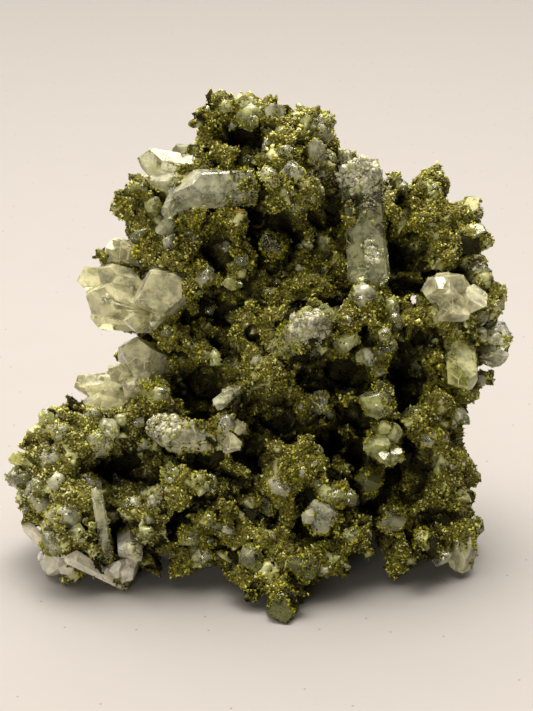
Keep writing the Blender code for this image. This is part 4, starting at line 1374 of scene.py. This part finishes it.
def glass_material(look):
    body, milky, absorbed, density, through = GLASS[look]
    made, tree, shader = new_material("quartz_" + look, {
        "IOR": QUARTZ_IOR,
        "Subsurface Weight": 1.0,
        "Subsurface Radius": (1.0, 1.0, 0.75),
        "Subsurface Scale": 0.35 * MM,
    })
    veil = veiled(tree)
    limit = ramped(tree, held(tree, "share"), 0.15, 0.7, 0.47, 0.74)
    flecks = combined(tree, "SUBTRACT", grain_noise(tree, 1.6, 5, 0.75), limit)
    mossy = ramped(tree, flecks, 0.0, 0.06, 0.0, 0.8)
    growth = {"W": held(tree, "along"), "Scale": 1800.0, "Detail": 2.0}
    steps = node(tree, "TexNoise", growth, noise_dimensions="1D").outputs["Fac"]
    ridged = bumped(tree, steps, 0.3, 0.1)
    feed(tree, shader, {
        "Base Color": mixed(tree, mossy, mixed(tree, veil, body, milky), MOSS),
        "Transmission Weight": ramped(tree, veil, 0, 1, *through),
        "Roughness": ramped(tree, grain_noise(tree, 2.4, 4, 0.7), 0.45, 0.70, 0.02, 0.26),
        "Normal": bumped(tree, grain_noise(tree, 1.1, 4, 0.65), 0.14, 0.12, ridged),
    })
    absorb = node(tree, "VolumeAbsorption", {"Color": absorbed, "Density": density})
    feed(tree, tree.nodes["Material Output"], {"Volume": absorb.outputs["Volume"]})
    return made


def axis_of(base, tip):
    """Where a crystal starts, which way it points, and how long it is, in metres."""
    base, tip = np.array(seen(*base)), np.array(seen(*tip))
    length = np.linalg.norm(tip - base)
    return base, (tip - base) / length, length


def along_of(points, crystals):
    """How far along its crystal's axis each point is, in metres, and the share of its length."""
    best = np.full(len(points), np.inf)
    along = np.zeros(len(points))
    share = np.zeros(len(points))
    for base, tip, radius in crystals:
        base, way, length = axis_of(base, tip)
        run = (points - base) @ way
        off = np.linalg.norm(points - base - run[:, None] * way, axis=1) / (radius * MM)
        off += np.clip(run - length, 0, None) / (radius * MM)
        nearer = off < best
        best[nearer], along[nearer], share[nearer] = off[nearer], run[nearer], run[nearer] / length
    return along, share


def rounded(obj, name):
    """The object with slightly rounded edges."""
    edge = {"width": EDGE_ROUND * MM, "segments": 1, "limit_method": "ANGLE", "angle_limit": EDGE_ANGLE}
    return modified(obj, "BEVEL", name, **edge)


def prism(radius, length):
    """A six-sided prism on the origin, along +Z, as a bmesh."""
    mesh = bmesh.new()
    place = Matrix.Translation((0, 0, length / 2))
    bmesh.ops.create_cone(
        mesh, segments=6, radius1=radius, radius2=radius, depth=length, cap_ends=True, matrix=place
    )
    return mesh


def quartz_crystal(root, tip, radius, dice):
    """A six-sided crystal with uneven sides, and with three of its end faces larger than the others."""
    length = (tip - root).length
    mesh = prism(radius, length)
    for side in range(6):
        turn = (side + 0.5) * math.tau / 6
        out = Vector((math.cos(turn), math.sin(turn), 0))
        mesh = sliced(mesh, out * radius * (math.cos(math.tau / 12) - dice.uniform(0, SIDE_SINK)), out)
    for side in range(6):
        turn = (side + 0.5) * math.tau / 6
        sink = dice.uniform(*(LARGE_SINK if side % 2 else SMALL_SINK)) * radius
        mesh = sliced(mesh, *facet_plane(turn, QUARTZ_LEAN, length - sink))
    mesh.transform(stood(root, tip - root) @ Matrix.Rotation(dice.uniform(0, math.tau), 4, "Z"))
    return mesh


def chipped(mesh, way, radius, dice):
    """The crystal without a few of its corners, most of them at the end that points that way."""
    for _ in range(CHIPS):
        out = (way + Vector([dice.gauss(0, 0.8) for _ in range(3)])).normalized()
        corner = max((vert.co for vert in mesh.verts), key=lambda place: place.dot(out))
        mesh = sliced(mesh, corner - out * radius * dice.uniform(*CHIP_DEPTH), out)
    return mesh


def side_crystals(root, tip, radius, dice):
    """Smaller crystals that have grown along the sides of a crystal."""
    made = []
    way = (tip - root).normalized()
    length = (tip - root).length
    for _ in range(dice.randint(*SIDE_CRYSTALS)):
        off = Vector([dice.gauss(0, 1) for _ in range(3)]).cross(way).normalized()
        small = radius * dice.uniform(*SIDE_RADIUS)
        start = root + way * length * dice.uniform(*SIDE_START)
        start += off * (radius * SIDE_WITHIN - small)
        end = start + way * (length * dice.uniform(*SIDE_END) - (start - root).dot(way))
        end += off * small * dice.uniform(*SIDE_OFF)
        if (end - start).length > SIDE_LEAST * small:
            made.append(quartz_crystal(start, end, small, dice))
    return made


def joined_body(bodies, name):
    """The bodies joined in one solid."""
    if len(bodies) == 1:
        return object_of(bodies[0], name)
    others = bpy.data.collections.new(name)
    for mesh in bodies[1:]:
        data = bpy.data.meshes.new(name)
        mesh.to_mesh(data)
        mesh.free()
        others.objects.link(bpy.data.objects.new(name, data))
    join = {"operation": "UNION", "operand_type": "COLLECTION", "collection": others}
    solid = modified(object_of(bodies[0], name), "BOOLEAN", name, **join, solver="MANIFOLD")
    for obj in list(others.objects):
        bpy.data.objects.remove(obj)
    bpy.data.collections.remove(others)
    return solid


def quartz_body(name, crystals):
    """A quartz piece: the crystals of part.py, chipped, with smaller ones along their sides."""
    dice = random.Random(name)
    extra = random.Random(name + "_growth")
    bodies = []
    for base, tip, radius in crystals + BETWEEN.get(name, []):
        base, tip, radius = seen(*base), seen(*tip), radius * MM
        way = (tip - base).normalized()
        bodies.append(chipped(quartz_crystal(base, tip, radius, dice), way, radius, extra))
        bodies += side_crystals(base, tip, radius, extra)
    solid = joined_body(bodies, name + "_solid")
    for vert in solid.data.vertices:
        vert.co.z = max(vert.co.z, 0)
    return solid


def quartz_crystals(glass):
    """Each quartz piece of the frame with broken, rounded edges and its own look."""
    pieces = {}
    for name, (tint, _, crystals) in QUARTZ.items():
        piece = rounded(quartz_body(name, crystals), name + "_crystal")
        along, share = along_of(arrays_of(piece.data)[0], crystals)
        write_float(piece.data, "along", along)
        write_float(piece.data, "share", share)
        piece.data.materials.clear()
        dressed(piece, glass[LOOKS.get(name, tint)])
        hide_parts(name)
        pieces[name] = piece
    return pieces


def by_tint(shade, tints):
    """Each tint with the points whose shade is under its share, and not under the one before."""
    low = 0
    for tint, high in tints.items():
        yield tint, (shade >= low) & (shade < high)
        low = high


def small_quartz(rock, quartz, glass):
    """Points of quartz that stand all over the rock."""
    rng = np.random.default_rng(SEEDS["points"])
    dice = random.Random(SEEDS["points"])
    kinds = [template(dice, 6, 1) for _ in range(TEMPLATES)]
    weight = np.clip(rock.free - POINT_SKY, 0, 1)
    points, normals, _ = scattered(rock.verts, rock.tris, POINTS, rng, weight)
    keep = growth_room(points, quartz, *POINT_ROOM) & (seen_down(points) > GROWTH_TOP)
    points, normals = points[keep], leaning(normals[keep], POINT_LEAN, rng)
    radii = chosen(POINT_RADIUS, len(points), rng)
    reaches = rng.uniform(*POINT_REACH, len(points)) * np.clip(radii, *POINT_STRETCH)
    for tint, part in by_tint(rng.random(len(points)), POINT_TINTS):
        made = planted(kinds, points[part], normals[part], radii[part] * MM, reaches[part] * MM, rng)
        small_piece("small_points_" + tint, made, glass[tint])


def rock_seen(rock, across, down):
    """The point of the rock that is seen at that place of the window, or the nearest to it."""
    eye = sight_eye()
    aimed = seen(across, down, 0)
    spot = rock.ray_cast(eye, (aimed - eye).normalized())[0]
    return spot or rock.find_nearest(aimed)[0]


def shards(rock, glass, druse):
    """The smaller quartz crystals that the photo shows, and the grains on them."""
    rng = np.random.default_rng(SEEDS["shards"])
    made = {tint: [] for tint in GLASS}
    grown = []
    for number, (name, (tint, coat, place, way, radius, reach)) in enumerate(SHARDS.items()):
        dice = random.Random(name)
        way = from_sight(way).normalized()
        spot = rock_seen(rock, *place)
        radius *= MM
        base, tip = spot - way * radius * SHARD_SUNK, spot + way * reach * MM
        crystal = triangles_of(chipped(quartz_crystal(base, tip, radius, dice), way, radius, dice))
        made[tint].append(crystal)
        share = (crystal[0] - np.array(base)) @ np.array(way) / (tip - base).length
        grown.append(coated(*crystal, share, coat, number, rng))
    for tint, crystals in made.items():
        if crystals:
            small_piece("front_crystals_" + tint, joined(crystals), glass[tint])
    grains_on("shard_druse", grown, druse, rng)


def crushed(points):
    """How crushed quartz is at each point, from 0 to 1."""
    found = np.zeros(len(points))
    for place, reach in CRUSHED:
        found = np.maximum(found, faded(distance_to(points, place, reach), *CRUSHED_FADE))
    return found


def coated(verts, tris, share, coat, number, rng):
    """Where grains grow on the quartz of that number, whose vertices are at these shares of its
    length."""
    count = count_on(verts, tris, CRUSHED_GRAINS * COAT_DENSITY)
    points, normals, place = scattered(verts, tris, count, rng)
    wanted = coat_level(at_points(share, place), normals, coat, COAT_RULE)
    size, first = FIELDS["quartz_coat"]
    field = lumps(points, size, first + number) + COAT_RAGGED * (rng.random(len(points)) - 0.5)
    broken = crushed(points)
    keep = (field < wanted) & (rng.random(len(points)) < 1 / CRUSHED_GRAINS)
    field += CRUSHED_RAGGED * (rng.random(len(points)) - 0.5)
    keep |= (broken > 0) & (field < CRUSHED_COAT * broken)
    return points[keep], normals[keep]


def gathered(grown):
    """Several (points, normals) as one."""
    return (np.concatenate(rows) for rows in zip(*grown))


def grains_on(name, grown, druse, rng):
    """The grains of coated quartz as pieces."""
    points, normals = gathered(grown)
    value = chosen(COAT_TONE, len(points), rng)
    # Painted light and shade: grains are lighter in a tuft's middle and darker in the gaps between.
    value += PAINTED_COAT_TUFT * (CELL_MIDDLE - cell_distance(points, *TUFTS))
    sizes = chosen(COAT_GRAINS, len(points), rng)
    colours = stained(tones(np.clip(value, 0, 1)), points)
    grain_pieces(name, points, normals, sizes, colours, druse, rng)


def blocks(rock, quartz, glass, druse):
    """Blocky quartz crystals all over the rock, half grown over with grains."""
    rng = np.random.default_rng(SEEDS["blocks"])
    kinds = mixed_templates(random.Random(SEEDS["blocks"]), (3, 4, 6))
    weight = np.clip(rock.free - BLOCK_SKY, 0, 1) * (BLOCK_PALE[0] + BLOCK_PALE[1] * rock.pale)
    points, normals, place = scattered(rock.verts, rock.tris, BLOCKS, rng, weight)
    keep = growth_room(points, quartz, *BLOCK_ROOM) & (seen_down(points) > GROWTH_TOP)
    light = BLOCK_LIGHT * at_points(rock.pale, place)[keep]
    points, normals = points[keep], leaning(normals[keep], BLOCK_LEAN, rng)
    behind = np.clip(-normals @ np.array(from_sight((0, 0, 1))), 0, 1)
    radii = chosen(BLOCK_RADIUS, len(points), rng) * MM * (1 + BLOCK_BEHIND * behind)
    reaches = rng.uniform(*BLOCK_REACH, len(points)) * MM
    grown = []
    for tint, part in by_tint(rng.random(len(points)) * (1 - light), BLOCK_TINTS):
        made = planted(kinds, points[part], normals[part], radii[part], reaches[part], rng)
        small_piece("blocks_" + tint, made, glass[tint])
        spots, ways, _ = scattered(*made, count_on(*made, BLOCK_DENSITY), rng)
        fine = BLOCK_FINE * (lumps(spots, *FIELDS["fine_block_coat"]) - NOISE_MIDDLE)
        keep = lumps(spots, *FIELDS["block_coat"]) + fine < BLOCK_COAT
        keep &= depth_in(spots, rock.tree, MM) < BLOCK_DEEP * MM
        grown.append((spots[keep], ways[keep]))
    spots, ways = gathered(grown)
    colours = stained(tones(chosen(BLOCK_TONE, len(spots), rng)), spots)
    sizes = chosen(BLOCK_GRAINS, len(spots), rng)
    grain_pieces("block_druse", spots, ways, sizes, colours, druse, rng)


def small_piece(name, made, material):
    """The joined small crystals as a piece, cut off flat at the floor."""
    verts, tris = made
    verts[:, 2] = np.maximum(verts[:, 2], 0)
    piece = piece_of(name, verts, tris)
    write_float(piece.data, "along", verts[:, 2])
    write_float(piece.data, "share", np.full(len(verts), SMALL_SHARE))
    dressed(piece, material)


def rock_druse(rock, quartz, druse):
    """The grains of epidote all over the rock."""
    rng = np.random.default_rng(SEEDS["rock_druse"])
    closed = np.clip((CLOSED_SKY - rock.free) * CLOSED_RISE, 0, CLOSED_MOST)
    weight = np.maximum(BARE_GRAINS + (1 - BARE_GRAINS) * rock.coat, closed)
    hidden = depth_in(rock.verts, quartz, HIDDEN_LOOK * MM) > HIDDEN_DEPTH * MM
    weight *= np.where(hidden, HIDDEN_SHARE, 1)
    weight *= np.where(rock.verts[:, 2] < FOOT_HEIGHT * MM, FOOT_SHARE, 1)
    weight *= np.where(gap_way(rock.verts)[0] < GAP_RADIUS + GAP_EDGE, 0, 1)
    points, normals, place = scattered(rock.verts, rock.tris, GRAINS, rng, weight)
    sky = at_points(rock.free, place)
    tuft = CELL_MIDDLE - cell_distance(points, *TUFTS)
    lump = cell_plates(points, CELLS[1][0], 1)[0] - PAINTED_LUMP_LEVEL
    points += normals * (tuft * TUFT_HEIGHT * MM)[:, None]
    pale = paleness(points)
    # The tuft, lump and sky gains are painted light on tops and in the open, and painted shade in gaps
    # and hollows.
    gains = {
        "random": rng.random(len(points)),
        "patch": at_points(lumps(rock.verts, *FIELDS["light_patches"]), place) - NOISE_MIDDLE,
        "tuft": tuft,
        "lump": lump,
        "sky": np.clip(sky, 0, PAINTED_SKY_MOST) - PAINTED_SKY_LEVEL,
        "pale": pale,
    }
    value = TONE_LEAST + sum(TONE_GAINS[name] * gain for name, gain in gains.items())
    colours = tones(np.clip(value, 0, 1))
    colours += (PALE_SHARE * pale)[:, None] * (np.array(PALE_TONE) - colours)
    # Painted shade: grains are darkened where little of the sky is open.
    light = PAINTED_SHADE_LEFT + (1 - PAINTED_SHADE_LEFT) * np.clip((sky - PAINTED_SHADE_SKY) / PAINTED_SHADE_FADE, 0, 1)
    colours = stained(colours, points) * light[:, None]
    sizes = chosen(ROCK_GRAINS, len(points), rng)
    grain_pieces("druse", points, normals, sizes, colours, druse, rng)


def veil_material():
    made, tree, shader = new_material("quartz_veil", {"Roughness": 0.35, "IOR": QUARTZ_IOR})
    shade = ramped(tree, grain_noise(tree, 1.5, 2), 0.3, 0.7)
    feed(tree, shader, {"Base Color": mixed(tree, shade, *FLAKE_TONES)})
    return made


def in_disc(count, room, rng):
    """Random places in a disc of that radius: how far right, up and out they are."""
    turn, out = rng.uniform(0, math.tau, count), np.sqrt(rng.random(count)) * room
    return np.cos(turn) * out, np.sin(turn) * out, out


def veil_places(length, radius, rng):
    """Places in a thin, leaning veil across a crystal: how far right, up and along they are."""
    room = radius * MM * INNER_ROOM
    count = int(FLAKES * (radius / FLAKE_STEP) ** 2)
    spot = rng.uniform(*VEIL_PLACE) * length
    lean = rng.normal(0, VEIL_LEAN, 2)
    right, up, out = in_disc(count, room, rng)
    run = spot + right * lean[0] + up * lean[1] + rng.normal(0, VEIL_THICK * MM, count)
    run = np.minimum(run, length - VEIL_END * radius * MM * (0.5 + out / room))
    return np.stack([right, up, run], axis=1)


def inner_places(length, radius, rng):
    """Places inside a crystal, most of them near its root, in the same way."""
    count = int(INNER_GRAINS * (radius / GRAIN_STEP) ** 2 * length / (radius * MM))
    right, up, _ = in_disc(count, radius * MM * INNER_ROOM, rng)
    run = length * rng.uniform(0.1, 1, count) ** INNER_POWER * INNER_END
    return np.stack([right, up, run], axis=1)


def veils(pieces, druse):
    """White flakes in thin veils and grains of epidote inside the quartz."""
    rng = np.random.default_rng(SEEDS["veils"])
    tree = tree_of(*joined([arrays_of(piece.data) for piece in pieces.values()]))
    flakes, grains = [], []
    for base, tip, radius in [crystal for _, _, crystals in QUARTZ.values() for crystal in crystals]:
        base, way, length = axis_of(base, tip)
        side = unit(np.cross(way, rng.normal(size=(1, 3))))[0]
        ways = np.array((side, np.cross(way, side), way))
        for _ in range(VEILS):
            found = base + veil_places(length, radius, rng) @ ways
            flakes.append(found[lumps(found, *FIELDS["veils"]) > VEIL_LEVEL])
        grains.append(base + inner_places(length, radius, rng) @ ways)
    flakes, grains = (
        places[depth_in(places, tree, INNER_LOOK * MM) > INNER_DEPTH * MM]
        for places in (np.concatenate(flakes), np.concatenate(grains))
    )
    lying = unit(rng.normal(size=flakes.shape))
    sizes = rng.uniform(*FLAKE_SIZE, len(flakes))
    piece = piece_of("quartz_veils", *grain_arrays(flakes, lying, sizes, rng))
    dressed(piece, veil_material())
    colours = tones(chosen(INSIDE_TONE, len(grains), rng))
    sizes = chosen(INSIDE_GRAINS, len(grains), rng)
    lying = unit(rng.normal(size=grains.shape))
    grain_pieces("inner_grains", grains, lying, sizes, colours, druse, rng)


def sugar(pieces, glass):
    """Fine clear crystals that cover quartz where it is crushed."""
    rng = np.random.default_rng(SEEDS["sugar"])
    kinds = mixed_templates(random.Random(SEEDS["sugar"]), (3, 6))
    grown = []
    for piece in pieces.values():
        body = arrays_of(piece.data)
        points, normals, _ = scattered(*body, count_on(*body, SUGAR), rng)
        keep = lumps(points, *FIELDS["sugar"]) < crushed(points)
        grown.append((points[keep], normals[keep]))
    spots, ways = gathered(grown)
    ways = leaning(ways, SUGAR_LEAN, rng)
    radii = rng.uniform(*SUGAR_RADIUS, len(spots)) * MM
    reaches = rng.uniform(*SUGAR_REACH, len(spots)) * MM
    for tint, part in by_tint(rng.random(len(spots)), SUGAR_TINTS):
        made = planted(kinds, spots[part], ways[part], radii[part], reaches[part], rng)
        small_piece("sugar_" + tint, made, glass[SUGAR_LOOKS.get(tint, tint)])


def quartz_druse(pieces, druse):
    """Grains that grow on the quartz, most of them near where it leaves the rock."""
    rng = np.random.default_rng(SEEDS["quartz_druse"])
    grown = []
    for number, (name, (_, coat, crystals)) in enumerate(QUARTZ.items()):
        verts, tris = arrays_of(pieces[name].data)
        share = along_of(verts, crystals)[1]
        grown.append(coated(verts, tris, share, coat, number, rng))
    grains_on("quartz_druse", grown, druse, rng)


def main():
    add_camera()
    add_floor()
    add_sky()
    add_lamps()
    quartz = quartz_tree()
    skin = rock_skin(quartz)
    rock = rock_facts(skin)
    dressed(skin, rock_material())
    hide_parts("epidote_mass")
    glass = {look: glass_material(look) for look in GLASS}
    pieces = quartz_crystals(glass)
    small_quartz(rock, quartz, glass)
    druse = druse_material()
    blocks(rock, quartz, glass, druse)
    shards(rock.tree, glass, druse)
    rock_druse(rock, quartz, druse)
    quartz_druse(pieces, druse)
    sugar(pieces, glass)
    veils(pieces, druse)


main()
